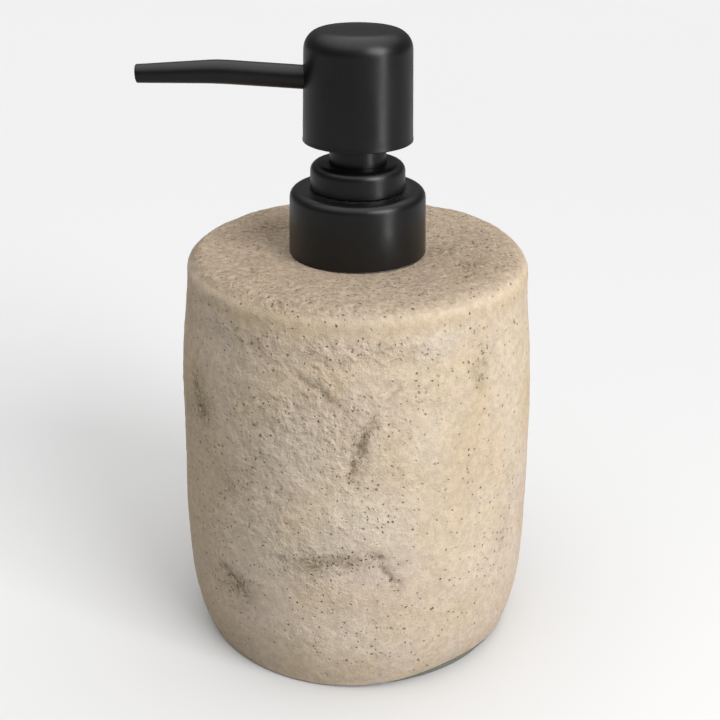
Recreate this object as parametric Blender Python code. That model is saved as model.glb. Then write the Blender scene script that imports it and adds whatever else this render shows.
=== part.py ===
"""Soap pump dispenser: a cast-stone vessel with a spring-returned pump screwed into its neck.

Blender 4.5, metres, +Z up. The origin is the middle of the face that the foam base pad stands on.
The pump's axis is Z and the spout points along -X. Every piece is one named object, turned, swept
or cut from the named sizes below, and is parented to the empty of the body that it moves with.
"""

import math

import bmesh
import bpy
from mathutils import Matrix, Vector

MM = 0.001

# --- Clearances ---------------------------------------------------------------------------------
TOUCH_GAP = 0.3 * MM  # between pieces that rest on, press into or are glued to each other
RUN_GAP = 0.3 * MM  # between pieces that slide or turn on each other

# --- Motion -------------------------------------------------------------------------------------
STROKE = 10.5 * MM  # how far the head goes down
PISTON_SLIP = 1.0 * MM  # lost motion of the piston between the cone and the stem

# --- Foam base pad ------------------------------------------------------------------------------
PAD_INSET = 0.5 * MM  # the pad is this much smaller than the foot
PAD_THICKNESS = 2.0 * MM
PAD_OFFSET = 0.9 * MM  # the pad is stuck on a little towards +X, so only that side shows it

# --- Stone vessel -------------------------------------------------------------------------------
STONE_HEIGHT = 101.5 * MM
STONE_BELLY_RADIUS = 45.6 * MM
STONE_FOOT_TUCK = 3.9 * MM  # how far the foot lies inside the belly
STONE_BELLY_HEIGHT = 30.0 * MM  # the foot's curve ends here, above the vessel's underside
STONE_FOOT_POWER = 2.8  # how full the foot's curve is: 2 is an ellipse
STONE_DRAFT = 1.55 * MM  # the wall leans in by this much from belly to rim
STONE_LEDGE = 1.65 * MM  # and steps in by this much at the ledge under the rim
STONE_LEDGE_DROP = 8.5 * MM  # from the top down to the ledge's upper end
STONE_LEDGE_SPAN = 18.0 * MM
STONE_RIM_FILLET = 4.5 * MM
STONE_RIM_FLAT = 0.09 * MM  # straight wall left under the rim's fillet
STONE_EDGE_FILLET = 1.0 * MM
STONE_FLOOR = 10.0 * MM
STONE_ROOF = 12.0 * MM
STONE_WALL = 9.6 * MM
CAVITY_FILLET = 6.0 * MM
DISH_DEPTH = 0.9 * MM  # the top sinks this much towards the collar
DISH_MARGIN = 7.9 * MM  # flat ring between the dish and the rim's fillet
DISH_FLAT = 1.0 * MM  # flat ring round the counterbore
WALL_STATIONS = 11  # how many points the turned side curve has

# --- Threaded neck insert -----------------------------------------------------------------------
INSERT_SHOULDER = 1.9 * MM  # how much wider the glued part is than the neck
INSERT_FLANGE_COVER = 0.8 * MM  # the collar's foot stands out over the flange by this much
INSERT_FLANGE_THICKNESS = 1.5 * MM
INSERT_GROOVES = 2
INSERT_GROOVE_DEPTH = 0.6 * MM
INSERT_GROOVE_WIDTH = 1.4 * MM
NECK_CLEARANCE = 0.7 * MM  # the housing drops through the neck with this much room
NECK_WALL = 1.9 * MM
NECK_HEIGHT = 9.5 * MM
THREAD_PITCH = 4.233 * MM  # six turns to the inch
THREAD_DEPTH = 0.9 * MM
THREAD_BASE = 2.0 * MM
THREAD_CREST = 0.9 * MM
THREAD_TURNS = 1.25
CAP_THREAD_TURNS = 1.0
THREAD_START = 2.6 * MM  # middle of the neck's first thread, above the dish
THREAD_ROOT_SINK = 0.4 * MM  # how deep a thread's root lies in its wall
THREAD_RUN_OUT = 0.12  # turns over which a thread fades at each end

# --- Collar: smooth shell over a threaded cap ---------------------------------------------------
COLLAR_DRAFT = 0.4 * MM
COLLAR_FILLET = 2.4 * MM
COLLAR_WALL = 1.1 * MM
CAP_WALL = 1.6 * MM
CAP_ROOF = 2.0 * MM
CAP_CHAMFER = 1.4 * MM
CAP_RISE = 1.2 * MM  # the cap's skirt ends this far above the shell's

# --- Gasket and pump housing --------------------------------------------------------------------
GASKET_THICKNESS = 1.0 * MM
FLANGE_THICKNESS = 1.4 * MM
FLANGE_INSET = 0.2 * MM  # the flange is this much smaller than the neck it sits on
HOUSING_WALL = 1.0 * MM
BARREL_BORE = 7.0 * MM
BARREL_WALL = 1.2 * MM
NIPPLE_LENGTH = 11.5 * MM
VALVE_FLOOR = 2.6 * MM  # straight outer wall below the barrel's floor
NIPPLE_WALL = 1.3 * MM
INLET_RADIUS = 1.6 * MM
INLET_LENGTH = 1.0 * MM
BALL_RADIUS = 2.38 * MM
BALL_ROOM = 0.72 * MM  # how much wider than the ball its chamber is
BALL_LIFT = 1.2 * MM

# --- Spring, seat, piston and rod ---------------------------------------------------------------
SEAT_THICKNESS = 2.0 * MM
SEAT_SLOTS = 4
SEAT_SLOT_WIDTH = 1.4 * MM
SEAT_SLOT_REACH = 5.0 * MM
SPRING_WIRE = 0.9 * MM
SPRING_ROOM = 0.75 * MM  # between the rod's spigot and the coils
SPRING_PRESSED = 15.7 * MM  # its length with the head fully down
SPRING_COILS = 8.5
SPRING_END_COILS = 0.9  # closed turns at each end
SPRING_END_GAP = 0.135 * MM  # between the closed turns
PISTON_HEIGHT = 6.0 * MM
BARREL_MOUTH_DROP = 0.2 * MM  # the bore's mouth lies this far under the piston's top
PISTON_LIP = 1.2 * MM
PISTON_WAIST = 0.7 * MM
PISTON_CONE = 1.2 * MM
ROD_NECK_RADIUS = 3.1 * MM
ROD_LAND = 0.5 * MM  # flat ring round the rod's cone
ROD_DISC_THICKNESS = 2.0 * MM
ROD_SPIGOT_RADIUS = 2.6 * MM
ROD_SPIGOT_LENGTH = 3.0 * MM
ROD_PLUG_LENGTH = 8.6 * MM
ROD_FLUTES = 4
ROD_FLUTE_WIDTH = 1.3 * MM
ROD_FLUTE_FLOOR = 1.5 * MM
ROD_FLUTE_RISE = 0.3 * MM  # from the cone's top up to the flutes

# --- Stem, wiper and retainer -------------------------------------------------------------------
STEM_RADIUS = 3.6 * MM
STEM_BORE = 2.5 * MM
STEM_FLANGE_RADIUS = 5.4 * MM
STEM_FLANGE_THICKNESS = 1.8 * MM
WIPER_THICKNESS = 1.7 * MM
WIPER_BEVEL = 0.7 * MM
SHELF_THICKNESS = 1.8 * MM
RETAINER_WALL = 1.7 * MM
STEP_HEIGHT = 6.2 * MM
STEP_OVERLAP = 1.14 * MM  # how far the step covers the collar round its hole
STEP_DRAFT = 0.11 * MM
STEP_FILLET = 2.4 * MM

# --- Neck sleeve --------------------------------------------------------------------------------
SLEEVE_WALL = 1.3 * MM
SLEEVE_ENGAGED = 4.6 * MM  # how far the sleeve reaches into the retainer at rest
SLEEVE_STOP = 0.9 * MM  # what is left between the sleeve and the wiper, head down
SLEEVE_TOP_GAP = 0.8 * MM  # between the sleeve's top and the spout's boss

# --- Head ---------------------------------------------------------------------------------------
HEAD_STOP = 1.4 * MM  # what is left between the head's rim and the collar, head down
HEAD_HEIGHT = 26.6 * MM
HEAD_ROOM = 0.53 * MM  # between the step and the inside of the head's rim
HEAD_DRAFT = 0.55 * MM
HEAD_FILLET = 4.0 * MM
HEAD_CROWN = 1.1 * MM  # how much the top is domed
HEAD_WALL = 1.2 * MM
HEAD_ROOF = 1.6 * MM
CORE_FOOT = 0.5 * MM  # the core's post ends this far above the sleeve's lower end
CORE_POST_WALL = 1.4 * MM
CORE_DISC_INSET = 2.25 * MM  # from the head's inner wall in to the disc's edge
CORE_DISC_THICKNESS = 1.4 * MM
CORE_RIB_THICKNESS = 1.2 * MM
CORE_RIB_HEIGHT = 5.6 * MM
CORE_RIB_INSET = 0.6 * MM  # from the disc's edge in, and into the post
CORE_CHANNEL = 1.8 * MM
SOCKET_ROOF = 2.0 * MM  # from the stem's socket up to the side channel
CHANNEL_OVERRUN = 0.4 * MM  # how far the rising channel passes the side channel
BOSS_WALL = 1.2 * MM
BOSS_ROOM = 0.4 * MM  # between the boss's end and the head's wall

# --- Spout --------------------------------------------------------------------------------------
SPOUT_RADIUS = 2.8 * MM
SPOUT_TIP_RADIUS = 2.16 * MM
SPOUT_BORE = 1.5 * MM
SPOUT_RISE = math.radians(3.5)  # slope from the head to the bend
SPOUT_FALL = math.radians(1.75)  # slope from the bend to the tip
SPOUT_AXIS_DROP = 12.5 * MM  # from the head's top down to the spout's line at the pump's axis
SPOUT_STOP = 0.9 * MM  # from the post's side out to the spout's inner end
SPOUT_BEND = 33.0 * MM
SPOUT_REACH = 52.2 * MM
SPOUT_BEND_LENGTH = 7.4 * MM
SPOUT_TIP_ROUND = 0.45 * MM

# --- Dip tube -----------------------------------------------------------------------------------
TUBE_RADIUS = 3.0 * MM
TUBE_BORE = 2.2 * MM
TUBE_FLOOR_GAP = 1.5 * MM

# --- Facets -------------------------------------------------------------------------------------
VESSEL_SIDES = 48
SHELL_SIDES = 36
INNER_SIDES = 20
SPOUT_SIDES = 16
WIRE_SIDES = 5
STEPS_PER_COIL = 16
BALL_SUBDIVISIONS = 3
ARC_STEPS = 3
BEND_STEPS = 4
DOME_SHARES = (0.6, 0.3, 0.0)  # where the head's dome has rings, out of its radius
CUT_OVERRUN = 1.0 * MM  # how far a cutter passes the face that it cuts
WELD = 1e-7
SHARP_ANGLE = math.radians(35)

# --- Radii, from the stem outwards ---------------------------------------------------------------
stem_hole = STEM_RADIUS + RUN_GAP
post_radius = stem_hole + CORE_POST_WALL
sleeve_bore = post_radius + TOUCH_GAP
sleeve_radius = sleeve_bore + SLEEVE_WALL
retainer_bore = sleeve_radius + RUN_GAP
retainer_skirt = retainer_bore + RETAINER_WALL
throat_bore = retainer_skirt + TOUCH_GAP
throat_radius = throat_bore + HOUSING_WALL
roof_hole = throat_radius + RUN_GAP
step_foot_radius = roof_hole + STEP_OVERLAP
step_top_radius = step_foot_radius - STEP_DRAFT
head_rim_radius = step_foot_radius + HEAD_ROOM + HEAD_WALL
head_top_radius = head_rim_radius - HEAD_DRAFT

neck_bore = throat_radius + NECK_CLEARANCE
neck_radius = neck_bore + NECK_WALL
neck_crest = neck_radius + THREAD_DEPTH
flange_radius = neck_radius - FLANGE_INSET
cap_bore = neck_crest + RUN_GAP
collar_foot_radius = cap_bore + CAP_WALL + TOUCH_GAP + COLLAR_WALL
collar_top_radius = collar_foot_radius - COLLAR_DRAFT
insert_radius = neck_radius + INSERT_SHOULDER
insert_flange_radius = collar_foot_radius - INSERT_FLANGE_COVER
mouth_radius = insert_radius + TOUCH_GAP
counterbore_radius = insert_flange_radius + TOUCH_GAP

barrel_radius = BARREL_BORE + BARREL_WALL
piston_bore = ROD_NECK_RADIUS + RUN_GAP
piston_radius = BARREL_BORE - RUN_GAP
disc_radius = ROD_NECK_RADIUS + PISTON_CONE + ROD_LAND
spring_radius = ROD_SPIGOT_RADIUS + SPRING_ROOM + SPRING_WIRE / 2
ball_chamber_radius = BALL_RADIUS + BALL_ROOM
tube_hole = TUBE_RADIUS + TOUCH_GAP
nipple_radius = tube_hole + NIPPLE_WALL
spout_hole = SPOUT_RADIUS + TOUCH_GAP
spout_inner_end = post_radius + SPOUT_STOP
boss_radius = spout_hole + BOSS_WALL

foot_radius = STONE_BELLY_RADIUS - STONE_FOOT_TUCK
rim_radius = STONE_BELLY_RADIUS - STONE_DRAFT - STONE_LEDGE
cavity_radius = STONE_BELLY_RADIUS - STONE_WALL
pad_radius = foot_radius - PAD_INSET
dish_radius = rim_radius - STONE_RIM_FILLET - DISH_MARGIN

# --- Heights: the vessel and the closure stack up from the floor ----------------------------------
stone_bottom = PAD_THICKNESS + TOUCH_GAP
stone_top = stone_bottom + STONE_HEIGHT
cavity_floor = stone_bottom + STONE_FLOOR
cavity_ceiling = stone_top - STONE_ROOF
dish_floor = stone_top - DISH_DEPTH
counterbore_floor = dish_floor - INSERT_FLANGE_THICKNESS - TOUCH_GAP
neck_top = dish_floor + NECK_HEIGHT
gasket_bottom = neck_top + TOUCH_GAP
gasket_top = gasket_bottom + GASKET_THICKNESS
flange_bottom = gasket_top + TOUCH_GAP
flange_top = flange_bottom + FLANGE_THICKNESS
cap_ceiling = flange_top + RUN_GAP
cap_top = cap_ceiling + CAP_ROOF
collar_ceiling = cap_top + TOUCH_GAP
collar_top = collar_ceiling + COLLAR_WALL
collar_foot = dish_floor + TOUCH_GAP
cap_foot = collar_foot + CAP_RISE
step_foot = collar_top + RUN_GAP
step_top = step_foot + STEP_HEIGHT
throat_top = step_foot - TOUCH_GAP

# --- Heights: the head, from the stroke that it needs over the collar -----------------------------
head_rim = collar_top + HEAD_STOP + STROKE
head_top = head_rim + HEAD_HEIGHT
head_ceiling = head_top - HEAD_CROWN - HEAD_ROOF
core_top = head_ceiling - TOUCH_GAP
disc_underside = core_top - CORE_DISC_THICKNESS
spout_line = head_top - SPOUT_AXIS_DROP
socket_top = spout_line - SPOUT_BORE - SOCKET_ROOF
stem_top = socket_top - RUN_GAP
sleeve_top = spout_line - boss_radius - SLEEVE_TOP_GAP
sleeve_bottom = step_top - SLEEVE_ENGAGED
post_bottom = sleeve_bottom + CORE_FOOT

# --- Heights: the pump, hung from the retainer down -----------------------------------------------
wiper_top = sleeve_bottom - STROKE - SLEEVE_STOP
wiper_bottom = wiper_top - WIPER_THICKNESS
shelf_top = wiper_bottom - TOUCH_GAP
shelf_bottom = shelf_top - SHELF_THICKNESS
stem_flange_top = shelf_bottom - RUN_GAP
stem_bottom = stem_flange_top - STEM_FLANGE_THICKNESS
piston_top = stem_bottom - RUN_GAP - PISTON_SLIP
piston_bottom = piston_top - PISTON_HEIGHT
disc_top = piston_bottom - RUN_GAP
disc_bottom = disc_top - ROD_DISC_THICKNESS
rod_shoulder = stem_bottom - TOUCH_GAP
rod_top = rod_shoulder + ROD_PLUG_LENGTH
spring_top = disc_bottom - TOUCH_GAP
spring_bottom = spring_top - STROKE - SPRING_PRESSED
seat_top = spring_bottom - TOUCH_GAP
seat_bottom = seat_top - SEAT_THICKNESS
barrel_mouth = piston_top - BARREL_MOUTH_DROP
throat_floor = barrel_mouth + throat_bore - BARREL_BORE
barrel_floor = seat_bottom - TOUCH_GAP
ball_height = barrel_floor - BALL_LIFT - BALL_RADIUS
inlet_top = ball_height - math.sqrt(2) * (BALL_RADIUS + TOUCH_GAP) + INLET_RADIUS
cone_top = inlet_top + ball_chamber_radius - INLET_RADIUS
tube_stop = inlet_top - INLET_LENGTH
nipple_bottom = tube_stop - NIPPLE_LENGTH
tube_bottom = cavity_floor + TUBE_FLOOR_GAP


# --- Outlines -----------------------------------------------------------------------------------
def rounded(corners, closed):
    """The (radius, height) outline through corners, each (r, z) or (r, z, fillet), as points."""
    points = []
    count = len(corners)
    for i, corner in enumerate(corners):
        here = Vector(corner[:2])
        inner = closed or 0 < i < count - 1
        if len(corner) == 2 or not inner:
            points.append(here)
            continue
        before = (Vector(corners[i - 1][:2]) - here).normalized()
        after = (Vector(corners[(i + 1) % count][:2]) - here).normalized()
        half = before.angle(after) / 2
        centre = here + (before + after).normalized() * (corner[2] / math.sin(half))
        spoke = here + before * (corner[2] / math.tan(half)) - centre
        sweep = math.copysign(math.pi - 2 * half, after.cross(before))
        for step in range(ARC_STEPS + 1):
            points.append(centre + Matrix.Rotation(sweep * step / ARC_STEPS, 2) @ spoke)
    return points


def stone_side():
    """The vessel's side from foot to rim: a superellipse foot, a leaning wall and a soft ledge."""
    lowest = STONE_EDGE_FILLET
    highest = STONE_HEIGHT - STONE_RIM_FILLET
    points = []
    for i in range(WALL_STATIONS):
        # Stations crowd towards both ends, where the side curves most.
        share = (1 - math.cos(math.pi * i / (WALL_STATIONS - 1))) / 2
        height = lowest + (highest - lowest) * share
        points.append((stone_radius(height), stone_bottom + height))
    return points


def stone_radius(height):
    """The vessel's outer radius at a height above its underside."""
    if height < STONE_BELLY_HEIGHT:
        below = (STONE_BELLY_HEIGHT - height) / STONE_BELLY_HEIGHT
        return STONE_BELLY_RADIUS - STONE_FOOT_TUCK * below**STONE_FOOT_POWER
    lean = (height - STONE_BELLY_HEIGHT) / (STONE_HEIGHT - STONE_BELLY_HEIGHT)
    ledge = 1 - (STONE_HEIGHT - STONE_LEDGE_DROP - height) / STONE_LEDGE_SPAN
    ledge = min(max(ledge, 0.0), 1.0)
    soft = ledge * ledge * (3 - 2 * ledge)
    return STONE_BELLY_RADIUS - STONE_DRAFT * lean - STONE_LEDGE * soft


def tapered(foot_radius, top_radius, foot, top, height):
    """The radius at a height on a straight-sided cone."""
    return foot_radius + (top_radius - foot_radius) * (height - foot) / (top - foot)


# --- Making objects -----------------------------------------------------------------------------
def material(name, colour, roughness, metallic=0.0):
    """A Principled material in one colour."""
    made = bpy.data.materials.new(name)
    made.use_nodes = True
    shader = made.node_tree.nodes["Principled BSDF"]
    shader.inputs["Base Color"].default_value = (*colour, 1.0)
    shader.inputs["Roughness"].default_value = roughness
    shader.inputs["Metallic"].default_value = metallic
    return made


def add_object(name, bm, height=0.0):
    """An object from a bmesh in world places, with its origin on the pump's axis at a height."""
    bmesh.ops.remove_doubles(bm, verts=bm.verts, dist=WELD)
    bmesh.ops.recalc_face_normals(bm, faces=bm.faces)
    if bm.calc_volume(signed=True) < 0:
        bmesh.ops.reverse_faces(bm, faces=bm.faces)
    bmesh.ops.translate(bm, verts=bm.verts, vec=(0, 0, -height))
    mesh = bpy.data.meshes.new(name)
    bm.to_mesh(mesh)
    bm.free()
    made = bpy.data.objects.new(name, mesh)
    made.location.z = height
    bpy.context.scene.collection.objects.link(made)
    return made


def finished(made, body, surface):
    """Dresses an object in its material and hangs it on the empty of its body."""
    made.data.materials.append(surface)
    made.data.shade_smooth()
    made.data.set_sharp_from_angle(angle=SHARP_ANGLE)
    made.parent = body
    made.location.z -= body.location.z
    return made


def turned(name, corners, sides=INNER_SIDES, closed=True):
    """A solid of revolution about Z: a ring if closed, else its outline starts and ends on Z."""
    bm = bmesh.new()
    verts = [bm.verts.new((r, 0, z)) for r, z in rounded(corners, closed)]
    pairs = list(zip(verts, verts[1:]))
    if closed:
        pairs.append((verts[-1], verts[0]))
    edges = [bm.edges.new(pair) for pair in pairs]
    bmesh.ops.spin(
        bm,
        geom=verts + edges,
        axis=(0, 0, 1),
        cent=(0, 0, 0),
        angle=2 * math.pi,
        steps=sides,
        use_merge=True,
    )
    return add_object(name, bm, min(corner[1] for corner in corners))


def helper(made):
    """Marks an object as a cutter or an addition that isn't a piece itself."""
    made.hide_render = True
    made.display_type = "WIRE"
    return made


def box(name, low, high, turns=(0.0,)):
    """A helper of one block for each turn about Z."""
    bm = bmesh.new()
    low, high = Vector(low), Vector(high)
    for turn in turns:
        cube = bmesh.ops.create_cube(bm, size=1.0)["verts"]
        size = Matrix.Diagonal((*(high - low), 1.0))
        place = Matrix.Rotation(turn, 4, "Z") @ Matrix.Translation((low + high) / 2) @ size
        bmesh.ops.transform(bm, matrix=place, verts=cube)
    return helper(add_object(name, bm))


def rod(name, radius, start, end, sides=INNER_SIDES):
    """A helper: a round bar between two points."""
    bm = bmesh.new()
    start, end = Vector(start), Vector(end)
    line = end - start
    turn = line.to_track_quat("Z", "Y").to_matrix().to_4x4()
    place = Matrix.Translation((start + end) / 2) @ turn
    bmesh.ops.create_cone(
        bm,
        cap_ends=True,
        segments=sides,
        radius1=radius,
        radius2=radius,
        depth=line.length,
        matrix=place,
    )
    return helper(add_object(name, bm))


def join(made, other, operation):
    """Adds a Boolean with a helper to an object."""
    boolean = made.modifiers.new(other.name, "BOOLEAN")
    boolean.operation = operation
    boolean.solver = "EXACT"
    boolean.object = other


def rings_to_faces(bm, rings, closed_ends):
    """Bridges rings of vertices, each with its neighbour, and fills the end rings."""
    for first, second in zip(rings, rings[1:]):
        for i, corner in enumerate(first):
            after = (i + 1) % len(first)
            bm.faces.new((corner, first[after], second[after], second[i]))
    if closed_ends:
        bm.faces.new(rings[0])
        bm.faces.new(rings[-1])


def thread(name, wall_radius, crest_radius, start, turns):
    """A helper: a right-handed thread ridge that fades into its wall at both ends."""
    bm = bmesh.new()
    outward = 1 if crest_radius > wall_radius else -1
    root = wall_radius - outward * THREAD_ROOT_SINK
    faded = wall_radius - outward * THREAD_ROOT_SINK / 2
    steps = round(turns * SHELL_SIDES)
    rings = []
    for step in range(steps + 1):
        turn = turns * step / steps
        share = min(1.0, turn / THREAD_RUN_OUT, (turns - turn) / THREAD_RUN_OUT)
        crest = faded + (crest_radius - faded) * share
        middle = start + THREAD_PITCH * turn
        angle = 2 * math.pi * turn
        section = (
            (root, -THREAD_BASE / 2),
            (crest, -THREAD_CREST / 2),
            (crest, THREAD_CREST / 2),
            (root, THREAD_BASE / 2),
        )
        ring = [
            bm.verts.new((r * math.cos(angle), r * math.sin(angle), middle + rise))
            for r, rise in section
        ]
        rings.append(ring)
    rings_to_faces(bm, rings, closed_ends=True)
    return helper(add_object(name, bm))


def spring(name, bottom, top):
    """A round-wire compression spring with closed end turns, its wire swept along a helix."""
    bm = bmesh.new()
    low = bottom + SPRING_WIRE / 2
    high = top - SPRING_WIRE / 2
    closed_rise = (SPRING_WIRE + SPRING_END_GAP) * SPRING_END_COILS
    open_coils = SPRING_COILS - 2 * SPRING_END_COILS
    steps = round(SPRING_COILS * STEPS_PER_COIL)
    rings = []
    for step in range(steps + 1):
        turn = SPRING_COILS * step / steps
        if turn < SPRING_END_COILS:
            height = low + closed_rise * turn / SPRING_END_COILS
        elif turn > SPRING_COILS - SPRING_END_COILS:
            height = high - closed_rise * (SPRING_COILS - turn) / SPRING_END_COILS
        else:
            share = (turn - SPRING_END_COILS) / open_coils
            height = low + closed_rise + (high - low - 2 * closed_rise) * share
        angle = 2 * math.pi * turn
        ring = []
        for side in range(WIRE_SIDES):
            around = 2 * math.pi * side / WIRE_SIDES
            r = spring_radius + SPRING_WIRE / 2 * math.cos(around)
            rise = SPRING_WIRE / 2 * math.sin(around)
            ring.append(bm.verts.new((r * math.cos(angle), r * math.sin(angle), height + rise)))
        rings.append(ring)
    rings_to_faces(bm, rings, closed_ends=True)
    return add_object(name, bm, bottom)


def spout_stations():
    """(x, z, slope, outer radius) along the spout's line, from inside the head to its tip."""
    bend_start = SPOUT_BEND - SPOUT_BEND_LENGTH / 2
    bend_end = SPOUT_BEND + SPOUT_BEND_LENGTH / 2
    taper = (SPOUT_RADIUS - SPOUT_TIP_RADIUS) / (SPOUT_REACH - bend_end)
    reaches = [spout_inner_end, bend_start]
    for step in range(1, BEND_STEPS + 1):
        reaches.append(bend_start + SPOUT_BEND_LENGTH * step / BEND_STEPS)
    reaches += [(bend_end + SPOUT_REACH) / 2, SPOUT_REACH - SPOUT_TIP_ROUND, SPOUT_REACH]
    stations = []
    for reach in reaches:
        turned_share = min(max((reach - bend_start) / SPOUT_BEND_LENGTH, 0.0), 1.0)
        slope = SPOUT_RISE - (SPOUT_RISE + SPOUT_FALL) * turned_share
        if stations:
            last_x, last_z, last_slope, _ = stations[-1]
            z = last_z + (reach + last_x) * math.tan((slope + last_slope) / 2)
        else:
            z = spout_line + reach * math.tan(SPOUT_RISE)
        stations.append((-reach, z, slope, SPOUT_RADIUS - taper * max(reach - bend_end, 0.0)))
    x, z, slope, radius = stations[-1]
    stations[-1] = (x, z, slope, radius - SPOUT_TIP_ROUND)
    return stations


def pipe(name, stations, bore, sides):
    """A hollow tube: rings of the outer radius one way, and of the bore back inside."""
    bm = bmesh.new()

    def ring(x, z, slope, radius):
        up = Vector((math.sin(slope), 0, math.cos(slope)))
        across = Vector((0, 1, 0))
        centre = Vector((x, 0, z))
        angles = [2 * math.pi * side / sides for side in range(sides)]
        return [
            bm.verts.new(centre + radius * (math.cos(a) * up + math.sin(a) * across))
            for a in angles
        ]

    outer = [ring(*station) for station in stations]
    inner = [ring(x, z, slope, bore) for x, z, slope, _ in reversed(stations)]
    rings_to_faces(bm, outer + inner + [outer[0]], closed_ends=False)
    return add_object(name, bm)


def empty(name, height):
    """The empty of a body, on the pump's axis."""
    made = bpy.data.objects.new(name, None)
    made.location.z = height
    bpy.context.scene.collection.objects.link(made)
    return made


# --- Vessel -------------------------------------------------------------------------------------
def make_vessel(body, looks):
    """The foam pad, the stone and the threaded insert glued into its mouth."""
    pad = turned(
        "base_pad",
        [(0, 0), (pad_radius, 0), (pad_radius, PAD_THICKNESS), (0, PAD_THICKNESS)],
        VESSEL_SIDES,
        closed=False,
    )
    pad.location.x = PAD_OFFSET
    finished(pad, body, looks["foam"])

    stone = turned(
        "stone_body",
        [
            (0, stone_bottom),
            (foot_radius, stone_bottom, STONE_EDGE_FILLET),
            *stone_side(),
            (rim_radius, stone_top, STONE_RIM_FILLET - STONE_RIM_FLAT),
            (dish_radius, stone_top),
            (counterbore_radius + DISH_FLAT, dish_floor),
            (counterbore_radius, dish_floor),
            (counterbore_radius, counterbore_floor),
            (mouth_radius, counterbore_floor),
            (mouth_radius, cavity_ceiling),
            (cavity_radius, cavity_ceiling, CAVITY_FILLET),
            (cavity_radius, cavity_floor, CAVITY_FILLET),
            (0, cavity_floor),
        ],
        VESSEL_SIDES,
        closed=False,
    )
    finished(stone, body, looks["stone"])
    finished(make_insert(), body, looks["insert"])


def make_insert():
    """The threaded bush: glue grooves in the stone, a flange in the counterbore, a neck above."""
    glued_bottom = cavity_ceiling
    glued_length = counterbore_floor - glued_bottom
    groove_radius = insert_radius - INSERT_GROOVE_DEPTH
    corners = [(neck_bore, glued_bottom), (insert_radius, glued_bottom)]
    for i in range(INSERT_GROOVES):
        middle = glued_bottom + glued_length * (i + 0.5) / INSERT_GROOVES
        low = middle - INSERT_GROOVE_WIDTH / 2
        high = middle + INSERT_GROOVE_WIDTH / 2
        corners += [(insert_radius, low), (groove_radius, low)]
        corners += [(groove_radius, high), (insert_radius, high)]
    seat = counterbore_floor + TOUCH_GAP
    corners += [
        (insert_radius, seat),
        (insert_flange_radius, seat),
        (insert_flange_radius, dish_floor),
        (neck_radius, dish_floor),
        (neck_radius, neck_top),
        (neck_bore, neck_top),
    ]
    insert = turned("neck_insert", corners, SHELL_SIDES)
    ridge = thread(
        "neck_thread", neck_radius, neck_crest, dish_floor + THREAD_START, THREAD_TURNS
    )
    join(insert, ridge, "UNION")
    return insert


# --- Closure ------------------------------------------------------------------------------------
def collar_radius(height, inset):
    """The collar's radius at a height, less an inset."""
    outer = tapered(collar_foot_radius, collar_top_radius, collar_foot, collar_top, height)
    return outer - inset


def make_closure(body, looks):
    """The smooth collar shell and the threaded cap pressed into it."""
    shell = turned(
        "collar_shell",
        [
            (collar_radius(collar_foot, COLLAR_WALL), collar_foot),
            (collar_foot_radius, collar_foot),
            (collar_top_radius, collar_top, COLLAR_FILLET),
            (roof_hole, collar_top),
            (roof_hole, collar_ceiling),
            (collar_radius(collar_ceiling, COLLAR_WALL), collar_ceiling, COLLAR_FILLET / 2),
        ],
        SHELL_SIDES,
    )
    finished(shell, body, looks["black"])

    inset = COLLAR_WALL + TOUCH_GAP
    cap = turned(
        "collar_cap",
        [
            (cap_bore, cap_foot),
            (collar_radius(cap_foot, inset), cap_foot),
            (collar_radius(cap_top - CAP_CHAMFER, inset), cap_top - CAP_CHAMFER),
            (collar_radius(cap_top, inset) - CAP_CHAMFER, cap_top),
            (roof_hole, cap_top),
            (roof_hole, cap_ceiling),
            (cap_bore, cap_ceiling),
        ],
        SHELL_SIDES,
    )
    ridge = thread(
        "cap_thread",
        cap_bore,
        neck_radius + RUN_GAP,
        dish_floor + THREAD_START + THREAD_PITCH / 2,
        CAP_THREAD_TURNS,
    )
    join(cap, ridge, "UNION")
    finished(cap, body, looks["moulded"])


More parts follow.
